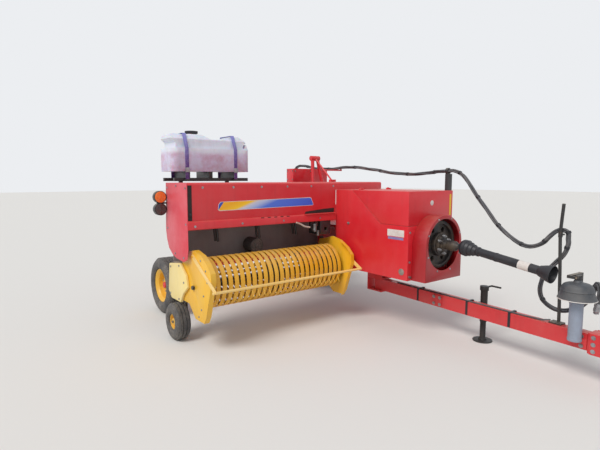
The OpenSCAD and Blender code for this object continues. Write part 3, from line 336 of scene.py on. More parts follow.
hose_rubber = rubber("hose_rubber", tone(64, 66, 72), tone(146, 142, 140), 220.0)
whole = flowing(HELD_ROUTE + BRIDGE_ROUTE[1:] + TONGUE_ROUTE[1:])
spans, start = {}, 0
for part, route in (("held", HELD_ROUTE), ("bridge", BRIDGE_ROUTE), ("tongue", TONGUE_ROUTE)):
    stop = start + FLOW_STEPS * (len(route) - 1)
    spans[part] = slice(start, stop + 1)
    start = stop
strands = {}
for k in range(HOSES):
    wound = beside(whole, HOSE_SPREAD, math.tau * k / HOSES, HOSE_TWIST)
    for part, span in spans.items():
        line = wound[span]
        hose = grown(f"hose_{part}_{k + 1}", path_mesh([line]), tubing, hose_rubber, Radius=HOSE_RADIUS)
        strands[part, k] = hose, line
        smoothed(hose, 50)
        if part == "bridge":
            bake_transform(hose)
        else:
            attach(hose, "baler" if part == "held" else "tongue")
        if k == 0:
            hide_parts(f"hoses_{part}")


# Ground and light
# A plain pale floor under an even sky, with one soft sun from the picture's left, as on a bright clouded
# day. The camera sees a plain white sky, which lights nothing.
FLOOR_HALF = 60.0
SKY_LIGHT = 0.62
SUN_LIGHT = 1.9
SUN_SPREAD = 25
SUN_SIDE = (-0.74, -0.2, 0.85)

floor_mesh = bpy.data.meshes.new("floor")
corners = [(x * FLOOR_HALF, y * FLOOR_HALF, 0) for x, y in ((-1, -1), (1, -1), (1, 1), (-1, 1))]
floor_mesh.from_pydata(corners, [], [(0, 1, 2, 3)])
floor = placed("floor", floor_mesh)
floor_finish, tree, shader, place = surface("floor_finish", Roughness=0.9, Specular_IOR_Level=0.1)
shader.inputs["Base Color"].default_value = tone(226, 224, 220)
floor_mesh.materials.append(floor_finish)

sky = bpy.data.worlds.new("sky")
sky.use_nodes = True
bpy.context.scene.world = sky
tree = sky.node_tree
tree.nodes.clear()
rays = add(tree, "ShaderNodeLightPath").outputs
seen = most(tree, most(tree, rays["Is Camera Ray"], rays["Is Glossy Ray"]), rays["Is Transmission Ray"])
light = add(tree, "ShaderNodeBackground", {"Color": tone(240, 244, 250), "Strength": SKY_LIGHT}).outputs[0]
shown = add(tree, "ShaderNodeBackground", {"Color": tone(236, 238, 241), "Strength": 1.0}).outputs[0]
both = add(tree, "ShaderNodeMixShader", {0: seen, 1: light, 2: shown}).outputs[0]
add(tree, "ShaderNodeOutputWorld", {0: both})

sun = bpy.data.lights.new("sun", "SUN")
sun.energy = SUN_LIGHT
sun.angle = math.radians(SUN_SPREAD)
sun.color = (1.0, 0.97, 0.93)
sun_holder = bpy.data.objects.new("sun_holder", sun)
sun_holder.rotation_euler = Vector(SUN_SIDE).to_track_quat("Z", "Y").to_euler()
bpy.context.scene.collection.objects.link(sun_holder)
bpy.context.scene.view_settings.view_transform = "Standard"


# Frame and axle
# Welded rails below the bale case and the cross beam with its drop plates and stubs, in sprayed red
# enamel that has gone dull, is chipped along its edges, and is dusty on top.
SHEET_EDGE = 0.0025
PLATE_EDGE = 0.004


def enamel(name, colour, faded, fade=0.45, chips=0.5, dust=0.4, rough=0.38, splash=0.5, coat=0.25):
    """Sprayed paint on steel: faded in patches, dusty, splashed low down, worn to rust at its edges."""
    finish, tree, shader, place = surface(name, Coat_Weight=coat, Coat_Roughness=0.25)
    cloud = grain(tree, place, 1.7, 5.0, 0.65)
    streak = grain(tree, stretched(tree, place, (14.0, 14.0, 1.2)), 1.0, 4.0, 0.6)
    speck = grain(tree, place, 55.0, 6.0, 0.7)
    scratch = grain(tree, stretched(tree, place, (3.0, 45.0, 90.0), (0.3, 0.5, 0.2)), 2.0, 3.0, 0.5)
    shade = times(tree, between(tree, cloud, 0.38, 0.68), between(tree, streak, 0.3, 0.7, 0.5, 1.0))
    paint = blended(tree, times(tree, shade, fade), colour, faded)
    paint = blended(tree, between(tree, scratch, 0.68, 0.8, 0.0, 0.35), paint, faded)
    deep = tuple(c * 0.72 for c in colour[:3]) + (1.0,)
    paint = blended(tree, between(tree, streak, 0.55, 0.8, 0.0, 0.35), paint, deep)
    worn = times(tree, edges(tree, 0.004), between(tree, speck, 0.5, 0.62, 0.0, chips))
    flake = between(tree, grain(tree, place, 21.0, 8.0, 0.75), 0.71, 0.76, 0.0, chips)
    worn = most(tree, worn, flake)
    rust = blended(tree, speck, tone(92, 58, 44), tone(132, 108, 92))
    paint = blended(tree, worn, paint, rust)
    low = times(tree, between(tree, coordinate(tree, place), 0.55, 0.05), splash)
    film = most(tree, times(tree, upward(tree), dust), low)
    film = times(tree, film, between(tree, grain(tree, place, 9.0, 7.0, 0.75), 0.35, 0.65, 0.15, 1.0))
    tree.links.new(blended(tree, film, paint, DUST), shader.inputs["Base Color"])
    dull = most(tree, film, worn)
    gloss = between(tree, plus(tree, dull, times(tree, shade, 0.35)), 0.0, 1.0, rough, 0.85)
    tree.links.new(gloss, shader.inputs["Roughness"])
    raised(tree, shader, (cloud, 0.15, 0.01), (speck, 0.06, 0.0006), (worn, -0.35, 0.0008))
    return finish


def merged_copy(node):
    """The mesh of a CAD node with its triangles joined into whole faces."""
    bm = bmesh.new()
    bm.from_mesh(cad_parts[node].data)
    bmesh.ops.remove_doubles(bm, verts=bm.verts, dist=2e-5)
    bmesh.ops.dissolve_limit(bm, angle_limit=math.radians(0.6), verts=bm.verts, edges=bm.edges)
    mesh = bpy.data.meshes.new(node)
    bm.to_mesh(mesh)
    bm.free()
    mesh.materials.clear()
    return mesh


def eased(obj, width, sharp=32, segments=2):
    """Rounds the piece's edges as a brake press or a grinder leaves them."""
    ease = obj.modifiers.new("ease", "BEVEL")
    ease.width = width
    ease.segments = segments
    ease.limit_method = "ANGLE"
    ease.angle_limit = math.radians(sharp)
    ease.use_clamp_overlap = True
    ease.harden_normals = True
    obj.data.shade_smooth()
    return settled(obj)


def sheet_piece(node, body, slot, finish, width, name):
    """A CAD node with rounded edges, in its own finish."""
    mesh = merged_copy(node)
    mesh.materials.append(finish)
    return dressed(eased(placed(name, mesh), width), body, slot, node)


red_enamel = enamel("red_enamel", tone(214, 32, 44), tone(222, 96, 96), fade=0.4, dust=0.25, splash=0.12)
for node in ("main_frame", "axle", "a_frame"):
    sheet_piece(node, "baler", "red_paint", red_enamel, PLATE_EDGE, f"{node}_welded")


# Road wheels and gauge wheel
# Ribbed implement tyres on pressed and welded rims, painted yellow, with zinc nuts on a red hub. The left
# road tyre is wider and taller than the right one, and the pickup rides on a small gauge wheel.

# Each wheel: body, tyre and rim, middle of the tyre, outer radius, width, bead radius, ribs, blocks in each, nuts.
WHEELS = {
    "right": ("wheel_right", "tire_right", "rim_right", (-1920, 2400, 339), 336, 240, 202, 5, 66, 6),
    "left": ("wheel_left", "tire_left", "rim_left", (515, 2400, 393), 389.5, 340, 204, 5, 66, 6),
    "gauge": ("gauge_wheel", "gauge_tire", "gauge_rim", (-2198, 1426, 188), 188, 150, 79, 3, 1, 0),
}
TREAD_DEPTH = 10
TREAD_SHARE = 0.72
NUT_CIRCLE = 78
NUT_SEAT = 24
SIDEWALL = [(0.13, 0.0), (0.07, 0.04), (0.045, 0.09), (0.05, 0.13), (0.022, 0.2), (0.004, 0.34), (0.0, 0.46),
            (0.006, 0.6), (0.022, 0.74), (0.05, 0.86), (0.09, 0.95), (0.14, 0.995), (0.2, 1.0)]
TURNED_SIDES = 96


def add_turned(bm, profile, sides=TURNED_SIDES, closed=True):
    """Turns a profile of distances along X and radii, in millimetres, round the X axis."""
    rings = []
    for along, radius in profile:
        spots = 1 if radius < 0.01 else sides
        ring = []
        for k in range(spots):
            a = math.tau * k / sides
            ring.append(bm.verts.new(Vector((along, radius * math.sin(a), radius * math.cos(a))) / 1000))
        rings.append(ring)
    pairs = list(zip(rings, rings[1:])) + ([(rings[-1], rings[0])] if closed else [])
    for a, b in pairs:
        for k in range(sides):
            n = (k + 1) % sides
            if len(a) == 1 and len(b) == 1:
                continue
            if len(a) == 1:
                bm.faces.new((a[0], b[n], b[k]))
            elif len(b) == 1:
                bm.faces.new((a[k], a[n], b[0]))
            else:
                bm.faces.new((a[k], a[n], b[n], b[k]))


def add_wedge(bm, x, y, z, taper=0.0):
    """A block between two places on each axis, in millimetres, its upper face drawn in by the taper."""
    corners = []
    for k, height in enumerate(z):
        t = taper * k
        for a, b in ((x[0] + t, y[0] + t), (x[1] - t, y[0] + t), (x[1] - t, y[1] - t), (x[0] + t, y[1] - t)):
            corners.append(bm.verts.new(Vector((a, b, height)) / 1000))
    for loop in ((3, 2, 1, 0), (4, 5, 6, 7), (0, 1, 5, 4), (1, 2, 6, 5), (2, 3, 7, 6), (3, 0, 4, 7)):
        bm.faces.new([corners[i] for i in loop])


def made(name, bm, finish=None, place=None):
    """A mesh from what was built, its faces turned outwards, moved into its place."""
    bmesh.ops.recalc_face_normals(bm, faces=bm.faces)
    mesh = bpy.data.meshes.new(name)
    bm.to_mesh(mesh)
    bm.free()
    if place is not None:
        mesh.transform(place)
    if finish:
        mesh.materials.append(finish)
    return mesh


def standing(x, y, z, turn=0, axis="Z"):
    """A point of the drawing, and the turn with which a piece stands there."""
    return Matrix.Translation(at(x, y, z)) @ Matrix.Rotation(math.radians(turn), 4, axis)


def add_rod(bm, sides, radius, span, off=0.0):
    """A round or hexagonal rod along X, at a distance off the axis, in millimetres."""
    place = Matrix.Translation((sum(span) / 2000, 0, off / 1000)) @ Matrix.Rotation(math.radians(90), 4, "Y")
    bmesh.ops.create_cone(bm, cap_ends=True, segments=sides, radius1=radius / 1000, radius2=radius / 1000,
                          depth=(span[1] - span[0]) / 1000, matrix=place)


# Copies in a ring round the X axis, for treads, nuts, springs and tines.
ring, given = recipe("ring", Count=12)
posts = add(ring, "GeometryNodeMeshLine", {"Count": given["Count"], "Offset": (0, 0, 0)}).outputs[0]
share = add(ring, "ShaderNodeMath", {0: add(ring, "GeometryNodeInputIndex").outputs[0], 1: given["Count"]},
            operation="DIVIDE").outputs[0]
turn = add(ring, "ShaderNodeCombineXYZ", {0: times(ring, share, math.tau)}).outputs[0]
copies = add(ring, "GeometryNodeInstanceOnPoints", {"Points": posts, "Instance": given["Geometry"],
                                                     "Rotation": turn}).outputs[0]
served(ring, given, copies)


def joined(name, objs):
    """Several loose objects of one finish made one."""
    bm = bmesh.new()
    finish = objs[0].data.materials[0]
    for obj in objs:
        bm.from_mesh(obj.data)
        bpy.data.objects.remove(obj)
    mesh = bpy.data.meshes.new(name)
    bm.to_mesh(mesh)
    bm.free()
    for face in mesh.polygons:
        face.material_index = 0
    mesh.materials.append(finish)
    return placed(name, mesh)


tyre_rubber = rubber("tyre_rubber", tone(62, 62, 65), tone(150, 143, 134), 60.0)
yellow_enamel = enamel("yellow_enamel", tone(238, 178, 20), tone(240, 205, 96), fade=0.5, chips=0.35,
                       dust=0.35, splash=0.35)


def steel(name, colour, dark, rough=0.35, scale=40.0, stain=0.6):
    """Zinc or bare steel that has dulled in patches."""
    finish, tree, shader, place = surface(name, Metallic=1.0)
    cloud = grain(tree, place, scale / 8, 5.0, 0.65)
    speck = grain(tree, place, scale, 6.0, 0.7)
    mask = times(tree, between(tree, cloud, 0.4, 0.65), stain)
    tree.links.new(blended(tree, mask, colour, dark), shader.inputs["Base Color"])
    tree.links.new(between(tree, speck, 0.3, 0.7, rough - 0.08, rough + 0.3), shader.inputs["Roughness"])
    raised(tree, shader, (speck, 0.15, 0.0004))
    return finish


zinc = steel("zinc", tone(176, 178, 182), tone(116, 104, 92))
for side, (body, tire, rim, middle, r, w, bead, ribs, blocks, nuts) in WHEELS.items():
    bm = bmesh.new()
    flank = [(a * w - w / 2, bead + b * (r - TREAD_DEPTH - bead)) for a, b in SIDEWALL]
    add_turned(bm, flank + [(-t, q) for t, q in reversed(flank)])
    carcass = placed("carcass", made("carcass", bm, tyre_rubber))
    bm = bmesh.new()
    foot, length = r - TREAD_DEPTH - 2, math.tau * r / blocks
    for i in range(ribs):
        x0, x1 = (w * TREAD_SHARE * (n / ribs - 0.5) for n in (i, i + 1))
        skew = length * 0.5 * (i % 2)
        if blocks > 1:
            add_wedge(bm, (x0 + 3, x1 - 3), (skew, skew + length * 0.9), (foot, r), 1.5)
        else:
            add_turned(bm, [(x0 + 3, foot), (x0 + 5, r), (x1 - 5, r), (x1 - 3, foot)])
    tread = grown("tread", made("tread", bm), ring, tyre_rubber, Count=blocks)
    tyre = joined(f"tyre_{side}", [carcass, tread])
    tyre.data.transform(standing(*middle))
    dressed(tyre, body, "rubber", tire, soft=28)
    sheet_piece(rim, body, "yellow_paint", yellow_enamel, 0.002, f"rim_{side}_pressed")
    if nuts:
        bm = bmesh.new()
        out = -1 if side == "right" else 1
        for sides, radius, tall in ((6, 11, 15), (24, 16, 3)):
            add_rod(bm, sides, radius, sorted((out * NUT_SEAT, out * (NUT_SEAT + tall))), NUT_CIRCLE)
        nut_ring = grown(f"wheel_nuts_{side}", made("nut", bm), ring, zinc, Count=nuts)
        nut_ring.data.transform(standing(*middle))
        dressed(nut_ring, body, "zinc", soft=30)


# Bale case
# Welded chamber of sheet and angle rails, open at its sides in long slots, in the same red enamel. Bolts
# with washers hold the wear bars inside the rails.
BOLT_ROW = range(1820, 3500, 210)
CASE_SIDE = 271.5
WEAR_BARS = (713, 1043)

heads, given = recipe("heads", Radius=0.008, Height=0.006)
hexagon = add(heads, "GeometryNodeMeshCylinder", {"Vertices": 6, "Radius": given["Radius"],
                                                  "Depth": given["Height"]}).outputs[0]
washer = add(heads, "GeometryNodeMeshCylinder", {
    "Vertices": 20, "Radius": times(heads, given["Radius"], 1.45), "Depth": times(heads, given["Height"], 0.7)
}).outputs[0]
bolt = add(heads, "GeometryNodeJoinGeometry")
lift = add(heads, "ShaderNodeCombineXYZ", {2: times(heads, given["Height"], 0.6)}).outputs[0]
heads.links.new(add(heads, "GeometryNodeTransform", {"Geometry": hexagon, "Translation": lift}).outputs[0],
                bolt.inputs[0])
heads.links.new(washer, bolt.inputs[0])
way = add(heads, "GeometryNodeInputNamedAttribute", {"Name": "facing"}, data_type="FLOAT_VECTOR").outputs[0]
aimed = add(heads, "FunctionNodeAlignRotationToVector", {"Vector": way}, axis="Z").outputs[0]
copies = add(heads, "GeometryNodeInstanceOnPoints", {"Points": given["Geometry"], "Instance": bolt.outputs[0],
                                                      "Rotation": aimed}).outputs[0]
served(heads, given, copies)


def bolted(name, body, spots, radius=8, height=6):
    """Zinc bolt heads at points of the row frame, each with the way that it faces."""
    mesh = bpy.data.meshes.new(name)
    mesh.from_pydata([tuple(p) for p, _ in spots], [], [])
    ways = mesh.attributes.new("facing", "FLOAT_VECTOR", "POINT")
    ways.data.foreach_set("vector", [c for _, n in spots for c in n])
    bolts = grown(name, mesh, heads, zinc, Radius=radius / 1000, Height=height / 1000)
    return dressed(bolts, body, "zinc")


def facing(way, places):
    """Points of the drawing, each with the way that a bolt in it faces."""
    return [(at(*place), way) for place in places]


sheet_piece("bale_case", "baler", "red_paint", red_enamel, 0.002, "bale_case_welded")
spots = []
for s in (-1, 1):
    spots += facing((s, 0, 0), [(s * CASE_SIDE, y, z) for y in BOLT_ROW for z in WEAR_BARS])
bolted("case_bolts", "baler", spots)


# Drive box
# A folded sheet box round the gearbox, closed by a lid that is hinged at its upper rear edge. Its side
# carries blank stickers, a latch and a plugged hole, and the lid a blank disc and a yellow strip.
BOX_SIDE = -365.2
STICKER = (52, 272, 1040, 1110)
STRIP_UNDER = (60, 262, 1008, 1034)
LID_STRIP = (311, 341, 1238, 1465)
BOX_FRONT = -0.2
LATCH = (BOX_SIDE, 859, 1124)
PLUG = (BOX_SIDE, 76, 684)
RIGHT = (-1, 0, 0)
FORWARD = (0, -1, 0)


def lofted(name, rows, finish):
    """Skins rows of points of the drawing, each a closed outline, and closes the first and the last."""
    bm = bmesh.new()
    rings = [[bm.verts.new(at(*point)) for point in row] for row in rows]
    n = len(rings[0])
    bm.faces.new(rings[0])
    bm.faces.new(rings[-1])
    for a, b in zip(rings, rings[1:]):
        for k in range(n):
            bm.faces.new((a[k], a[(k + 1) % n], b[(k + 1) % n], b[k]))
    return made(name, bm, finish)


def plate(name, outline, axis, span, finish, width=0.0015):
    """A flat piece: an outline in the two other axes, through a span of the drawing along one axis."""
    rows = [[{"X": (t, a, b), "Y": (a, t, b), "Z": (a, b, t)}[axis] for a, b in outline] for t in span]
    obj = placed(name, lofted(name, rows, finish))
    return eased(obj, width) if width else obj


def oblong(a, b, low, high):
    """The outline of a rectangle."""
    return [(a, low), (b, low), (b, high), (a, high)]


def turned(name, body, finish, slot, profile, place, *nodes, sides=40, closed=False, soft=30):
    """A piece from the lathe, its axis turned into its place."""
    bm = bmesh.new()
    add_turned(bm, profile, sides, closed)
    return dressed(placed(name, made(name, bm, finish, place)), body, slot, *nodes, soft=soft)


def plain(name, colour, second, rough=0.5, scale=30.0, amount=0.6, metallic=0.0, bump=0.1, **numbers):
    """Plastic, foil or cast surface with soft stains in a second colour."""
    finish, tree, shader, place = surface(name, Metallic=metallic, **numbers)
    cloud = grain(tree, place, scale / 6, 5.0, 0.7)
    fine = grain(tree, place, scale * 3, 6.0, 0.7)
    stain = times(tree, between(tree, cloud, 0.4, 0.68), amount)
    stain = most(tree, stain, times(tree, edges(tree, 0.003), between(tree, fine, 0.45, 0.6, 0.0, 0.5)))
    tree.links.new(blended(tree, stain, colour, second), shader.inputs["Base Color"])
    tree.links.new(between(tree, stain, 0.0, 1.0, rough, min(1.0, rough + 0.3)), shader.inputs["Roughness"])
    raised(tree, shader, (fine, bump, 0.0006))
    return finish


sheet_piece("front_box", "baler", "red_paint", red_enamel, SHEET_EDGE, "drive_box")
sheet_piece("front_lid", "front_lid", "red_paint", red_enamel, SHEET_EDGE, "drive_box_lid")
white_foil = plain("white_foil", tone(226, 222, 218), tone(188, 170, 160), 0.45, 60.0)
blue_foil = plain("blue_foil", tone(120, 118, 178), tone(172, 150, 170), 0.5, 60.0)
yellow_foil = plain("yellow_foil", tone(246, 196, 28), tone(214, 176, 80), 0.45, 60.0)
black_iron = plain("black_iron", tone(26, 27, 29), tone(66, 60, 54), 0.5, 40.0, 0.6, bump=0.3)
grey_plug = plain("grey_plug", tone(150, 142, 134), tone(92, 78, 68), 0.6, 60.0)
for name, outline, foil in (("sticker_blank", STICKER, white_foil), ("sticker_lower", STRIP_UNDER, blue_foil)):
    dressed(plate(name, oblong(*outline), "X", (BOX_SIDE, BOX_SIDE - 0.8), foil, 0), "baler", "white_plastic")
turned("side_plug", "baler", grey_plug, "grey_paint",
       [(0, 0), (0, 34), (4, 34), (6, 30), (5, 24), (9, 20), (10, 0)], standing(*PLUG, 180), soft=35)
turned("side_latch", "baler", zinc, "zinc",
       [(0, 0), (0, 17), (3, 17), (4, 9), (16, 9), (18, 6), (18, 0)], standing(*LATCH, 180), sides=28, soft=35)
turned("lid_disc", "front_lid", white_foil, "white_plastic", [(0, 0), (0, 27), (0.7, 27), (1, 26), (1, 0)],
       standing(5, -0.1, 1379, -90), soft=35)
dressed(plate("lid_strip", oblong(*LID_STRIP), "Y", (-1.2, -0.1), yellow_foil, 0), "front_lid", "yellow_paint")
spots = facing(FORWARD, [(x, BOX_FRONT, z) for x in (-335, 335) for z in (640, 790, 1090)])
spots += facing(FORWARD, [(x, BOX_FRONT, 632) for x in (-315, 315)])
bolted("box_bolts", "baler", spots, 9, 6)


# Flywheel, its guard and the gearbox
# A cast iron flywheel with a slip clutch turns before the drive box, inside a ring of rolled sheet that
# is bolted to the box. Chaff and grease cling to the clutch.
SHAFT_Z = 960
CLUTCH_BOLTS = 6
CLUTCH_CIRCLE = 88
RING_BOLTS = 8
RING_CIRCLE = 282
RING_FRONT = -170.2
CLUTCH = [(131, 60), (131, 108), (135, 108), (136, 98), (140, 98), (141, 108), (147, 108), (148, 88),
          (156, 78), (158, 60)]
YOKE = [(150, 0), (150, 63), (172, 61), (180, 46), (212, 42), (224, 50), (262, 52), (296, 50), (312, 41),
        (326, 31), (340, 28), (372, 26), (376, 0)]

# A darker copy of the red enamel for the flywheel ring: painted shade, as the ring stands in shade.
painted_shade_enamel = enamel("painted_shade_enamel", tone(166, 18, 28), tone(182, 64, 66), fade=0.4, dust=0.15, splash=0.1)
cast_iron = plain("cast_iron", tone(44, 45, 50), tone(110, 92, 70), 0.45, 34.0, 0.6, 0.3, 0.35)
grey_enamel = enamel("grey_enamel", tone(120, 120, 118), tone(96, 84, 70))
sheet_piece("flywheel_guard", "baler", "red_paint", painted_shade_enamel, PLATE_EDGE, "flywheel_ring")
sheet_piece("flywheel", "flywheel", "black_paint", cast_iron, 0.003, "flywheel_cast")
sheet_piece("gearbox", "baler", "grey_paint", grey_enamel, 0.006, "gearbox_cast")
on_shaft = standing(0, 0, SHAFT_Z, -90)


def coil(radius, length, turns, steps=12):
    """Points of a spring in millimetres: two distances across it, then one along it."""
    count = round(turns * steps)
    return [(radius * math.cos(math.tau * k / steps), radius * math.sin(math.tau * k / steps), length * k / count)
            for k in range(count + 1)]


turned("clutch_plates", "flywheel", cast_iron, "black_paint", CLUTCH, on_shaft, sides=72, closed=True)
wound = [Vector((148 + along, side, CLUTCH_CIRCLE + up)) / 1000 for up, side, along in coil(12, 26, 5)]
spring = grown("spring", path_mesh([wound]), tubing, zinc, Radius=0.0026, Sides=8)
springs = grown("clutch_springs", spring.data, ring, zinc, Count=CLUTCH_BOLTS)
bpy.data.objects.remove(spring)
bm = bmesh.new()
for sides, radius, span in ((6, 9, (174, 184)), (20, 13, (171, 174)), (16, 5, (147, 190))):
    add_rod(bm, sides, radius, span, CLUTCH_CIRCLE)
nuts = grown("clutch_nuts", made("nut", bm), ring, zinc, Count=CLUTCH_BOLTS)
for bolt_part, soft in ((springs, 40), (nuts, 30)):
    bolt_part.data.transform(on_shaft)
    dressed(bolt_part, "flywheel", "zinc", soft=soft)
turned("flywheel_yoke", "flywheel", cast_iron, "black_paint", YOKE, on_shaft)
places = []
for k in range(RING_BOLTS):
    a = math.tau * (k + 0.5) / RING_BOLTS
    places.append((RING_CIRCLE * math.sin(a), RING_FRONT, SHAFT_Z + RING_CIRCLE * math.cos(a)))
bolted("ring_bolts", "baler", facing(FORWARD, places), 7, 5)


# Driveline guards
# Black plastic tubes with flared ends cover the telescoping shaft. The rear half runs from the flywheel
# with a ball guard over its joint; the front half hangs from the hitch end of the tongue.
BALL_Y = -400
DRIVE_FALL = 8
DRIVE_TURN = 3.5
GUARD_BACK = [(24, 68), (10, 77), (-8, 79), (-24, 76), (-28, 80), (-33, 80), (-37, 74), (-60, 66), (-64, 68),
              (-69, 68), (-73, 62), (-98, 54), (-102, 56), (-107, 56), (-111, 50), (-138, 43), (-144, 46),
              (-160, 46), (-166, 39), (-330, 39), (-334, 42), (-348, 42), (-352, 39), (-735, 39), (-745, 47),
              (-762, 52), (-790, 62), (-826, 72), (-852, 76), (-855, 74), (-828, 69), (-790, 58), (-762, 41),
              (-700, 34), (-160, 34), (-90, 42), (-50, 60), (-20, 70), (0, 73), (20, 64)]
WHITE_BAND = [(-560, 39.2), (-560, 39.8), (-660, 39.8), (-660, 39.2)]
REAR_YOKE = [(58, 0), (58, 30), (30, 34), (8, 24), (-40, 22), (-40, 0)]

black_plastic = plain("black_plastic", tone(30, 31, 38), tone(66, 64, 66), 0.38, 26.0, 0.45, bump=0.08)
grey_plastic = plain("grey_plastic", tone(150, 160, 178), tone(116, 116, 120), 0.5, 26.0, 0.5, bump=0.08)
along_shaft = (standing(0, BALL_Y, SHAFT_Z, -DRIVE_TURN) @ Matrix.Rotation(math.radians(DRIVE_FALL), 4, "X")
               @ Matrix.Rotation(math.radians(90), 4, "Z"))
turned("drive_guard_rear", "driveline", black_plastic, "black_plastic", GUARD_BACK, along_shaft, "driveline",
       sides=64, closed=True)
turned("drive_guard_band", "driveline", white_foil, "white_plastic", WHITE_BAND, along_shaft, sides=64, closed=True)
turned("drive_yoke", "driveline", cast_iron, "black_paint", REAR_YOKE, along_shaft, sides=32)


# Hood
# A long folded sheet hood over the feeder, open below, its lower flange folded out. Its end panel has
# faded to pink except where the lamps shade it. A blank stripe runs along its front.
FOLD_Z = 1231
HOOD_FRONT = 1074.8
HOOD_END = -2220.2
LIP_FRONT = 1060.5
STRIPE = [(-1879, 1321), (-1899, 1330), (-1893, 1378), (-1872, 1400), (-765, 1416), (-744, 1408),
          (-714, 1345), (-720, 1334)]
LIP_SLOTS = [(-1420 + 82 * k, -1378 + 82 * k) for k in range(5)]
HOOD_GAP = (-2213, -2172)
CRANK = [(-968, 1150), (-905, 1128), (-850, 1100), (-777, 1085)]
CRANK_Y = 1052
CRANK_SPRINGS = [(-700, 1062, 1075, 22, 90), (-650, 1066, 1010, 15, 60)]
BRACKETS = [[(-735, 1142), (-735, 1060), (-715, 1040), (-690, 1040), (-690, 1142)], oblong(-672, -628, 1142, 1085)]

faded_enamel = enamel("faded_enamel", tone(214, 62, 76), tone(226, 128, 138), fade=0.9, chips=0.35, dust=0.3,
                      rough=0.5, coat=0.1)
sheet_piece("hood", "baler", "red_paint", red_enamel, SHEET_EDGE, "hood_folded")
sheet_piece("hood_end_panel", "baler", "faded_red_paint", faded_enamel, 0.002, "hood_end")


def piped(name, body, finish, slot, lines, radius, sides=14, soft=50):
    """Rods, wires or springs along lines of points, made as one piece."""
    piece = grown(name, path_mesh(lines), tubing, finish, Radius=radius / 1000, Sides=sides)
    return dressed(piece, body, slot, soft=soft)


def striped(name):
    """The foil of the hood: yellow, fading over pale blue to deep blue, slanted, with a pale border."""
    finish, tree, shader, place = surface(name, Roughness=0.35)
    x, z = (coordinate(tree, place, axis) for axis in (0, 2))
    along = between(tree, x, *[(v + DRAWING_SHIFT[0]) / 1000 for v in (-1899, -714)])
    height = between(tree, z, 1.325, 1.41)
    ramp = add(tree, "ShaderNodeValToRGB", {0: plus(tree, times(tree, height, -0.2), along)})
    stops = ramp.color_ramp.elements
    stops[0].position, stops[0].color = 0.0, tone(246, 176, 20)
    stops[1].position, stops[1].color = 1.0, tone(50, 96, 214)
    for position, colour in ((0.15, (250, 200, 30)), (0.21, (206, 206, 222)), (0.29, (176, 190, 228)),
                             (0.42, (80, 118, 220))):
        stops.new(position).color = tone(*colour)
    corner = plus(tree, along, times(tree, height, -0.055))
    blue = between(tree, corner, 0.002, 0.0)
    colour = blended(tree, blue, ramp.outputs[0], tone(40, 76, 180))
    wear = between(tree, grain(tree, place, 70.0, 6.0, 0.7), 0.66, 0.72, 0.0, 0.6)
    tree.links.new(blended(tree, wear, colour, tone(206, 150, 140)), shader.inputs["Base Color"])
    return finish


middle = (sum(a for a, _ in STRIPE) / len(STRIPE), sum(b for _, b in STRIPE) / len(STRIPE))
border = [(middle[0] + (a - middle[0]) * 1.008, middle[1] + (b - middle[1]) * 1.12) for a, b in STRIPE]
dressed(plate("stripe_border", border, "Y", (1074.9, 1074.5), white_foil, 0), "baler", "white_plastic")
dressed(plate("stripe_blank", STRIPE, "Y", (1074.5, 1074.1), striped("stripe_foil"), 0), "baler", "white_plastic")
pale_iron = plain("pale_iron", tone(206, 190, 180), tone(128, 100, 86), 0.45, 60.0)
# The gap, the recess and the lip slots of the hood are dark plates: painted shade, standing in for the shade inside
# these openings.
painted_shade_black = plain("painted_shade_black", tone(26, 24, 25), tone(66, 52, 46), 0.8, 40.0)
lip = [(1075.5, 1144), (1061, 1150), (1059, 1212), (1064, 1224), (1075.5, FOLD_Z)]
recess = [(-836, 1238), (-400, 1240), (-396, 1290), (-560, 1284), (-820, 1262)]
shelf = [(1075, 1236), (1046, 1232), (1045, 1228), (1075, 1230)]
dressed(plate("hood_lip", lip, "X", (-2214, -370), red_enamel, 0.002), "baler", "red_paint")
for k, (a, b) in enumerate(LIP_SLOTS):
    shape = [(a, 1224), (a + 4, 1220), (b - 4, 1220), (b, 1224), (b - 4, 1228), (a + 4, 1228)]
    dressed(plate(f"lip_slot_{k + 1}", shape, "Y", (1062.5, 1061.5), painted_shade_black, 0), "baler", "black_paint")
dressed(plate("hood_recess", recess, "Y", (1075, 1073.8), painted_shade_black, 0), "baler", "black_paint")
dressed(plate("hood_shelf", shelf, "X", (-840, -392), red_enamel, 0.001), "baler", "red_paint")
dressed(plate("hood_gap", oblong(*HOOD_GAP, 1234, 1566), "Y", (1075, 1073.6), painted_shade_black, 0), "baler", "black_paint")
turned("hood_latch", "baler", black_iron, "black_paint",
       [(0, 0), (0, 16), (5, 16), (6, 9), (20, 9), (22, 6), (22, 0)], standing(-2192, 1074, 1292, -90),
       sides=24, soft=35)
spots = facing(FORWARD, [(x, HOOD_FRONT, 1545) for x in range(-2060, -400, 330)])
spots += facing(FORWARD, [(x, LIP_FRONT, 1180) for x in (-2150, -1640, -1130, -620)])
spots += facing(RIGHT, [(HOOD_END, y, z) for y, z in ((1110, 1540), (1330, 1560), (1560, 1540), (1110, 1200),
                                                      (1570, 1130), (1180, 872), (1390, 890))])
bolted("hood_bolts", "baler", spots, 8, 5)
piped("hood_crank", "baler", pale_iron, "grey_paint", [flowing([(x, CRANK_Y, z) for x, z in CRANK])], 9, soft=40)
for k, (x, y, z, r, h) in enumerate(CRANK_SPRINGS):
    wound = [at(x + a, y + b, z - h / 2 + up) for a, b, up in coil(r, h, 7, 10)]
    piped(f"crank_spring_{k + 1}", "baler", zinc, "zinc", [wound], 3.2, 8, 40)
for k, shape in enumerate(BRACKETS):
    dressed(plate(f"crank_bracket_{k + 1}", shape, "Y", (1096, 1090), black_iron), "baler", "black_paint")


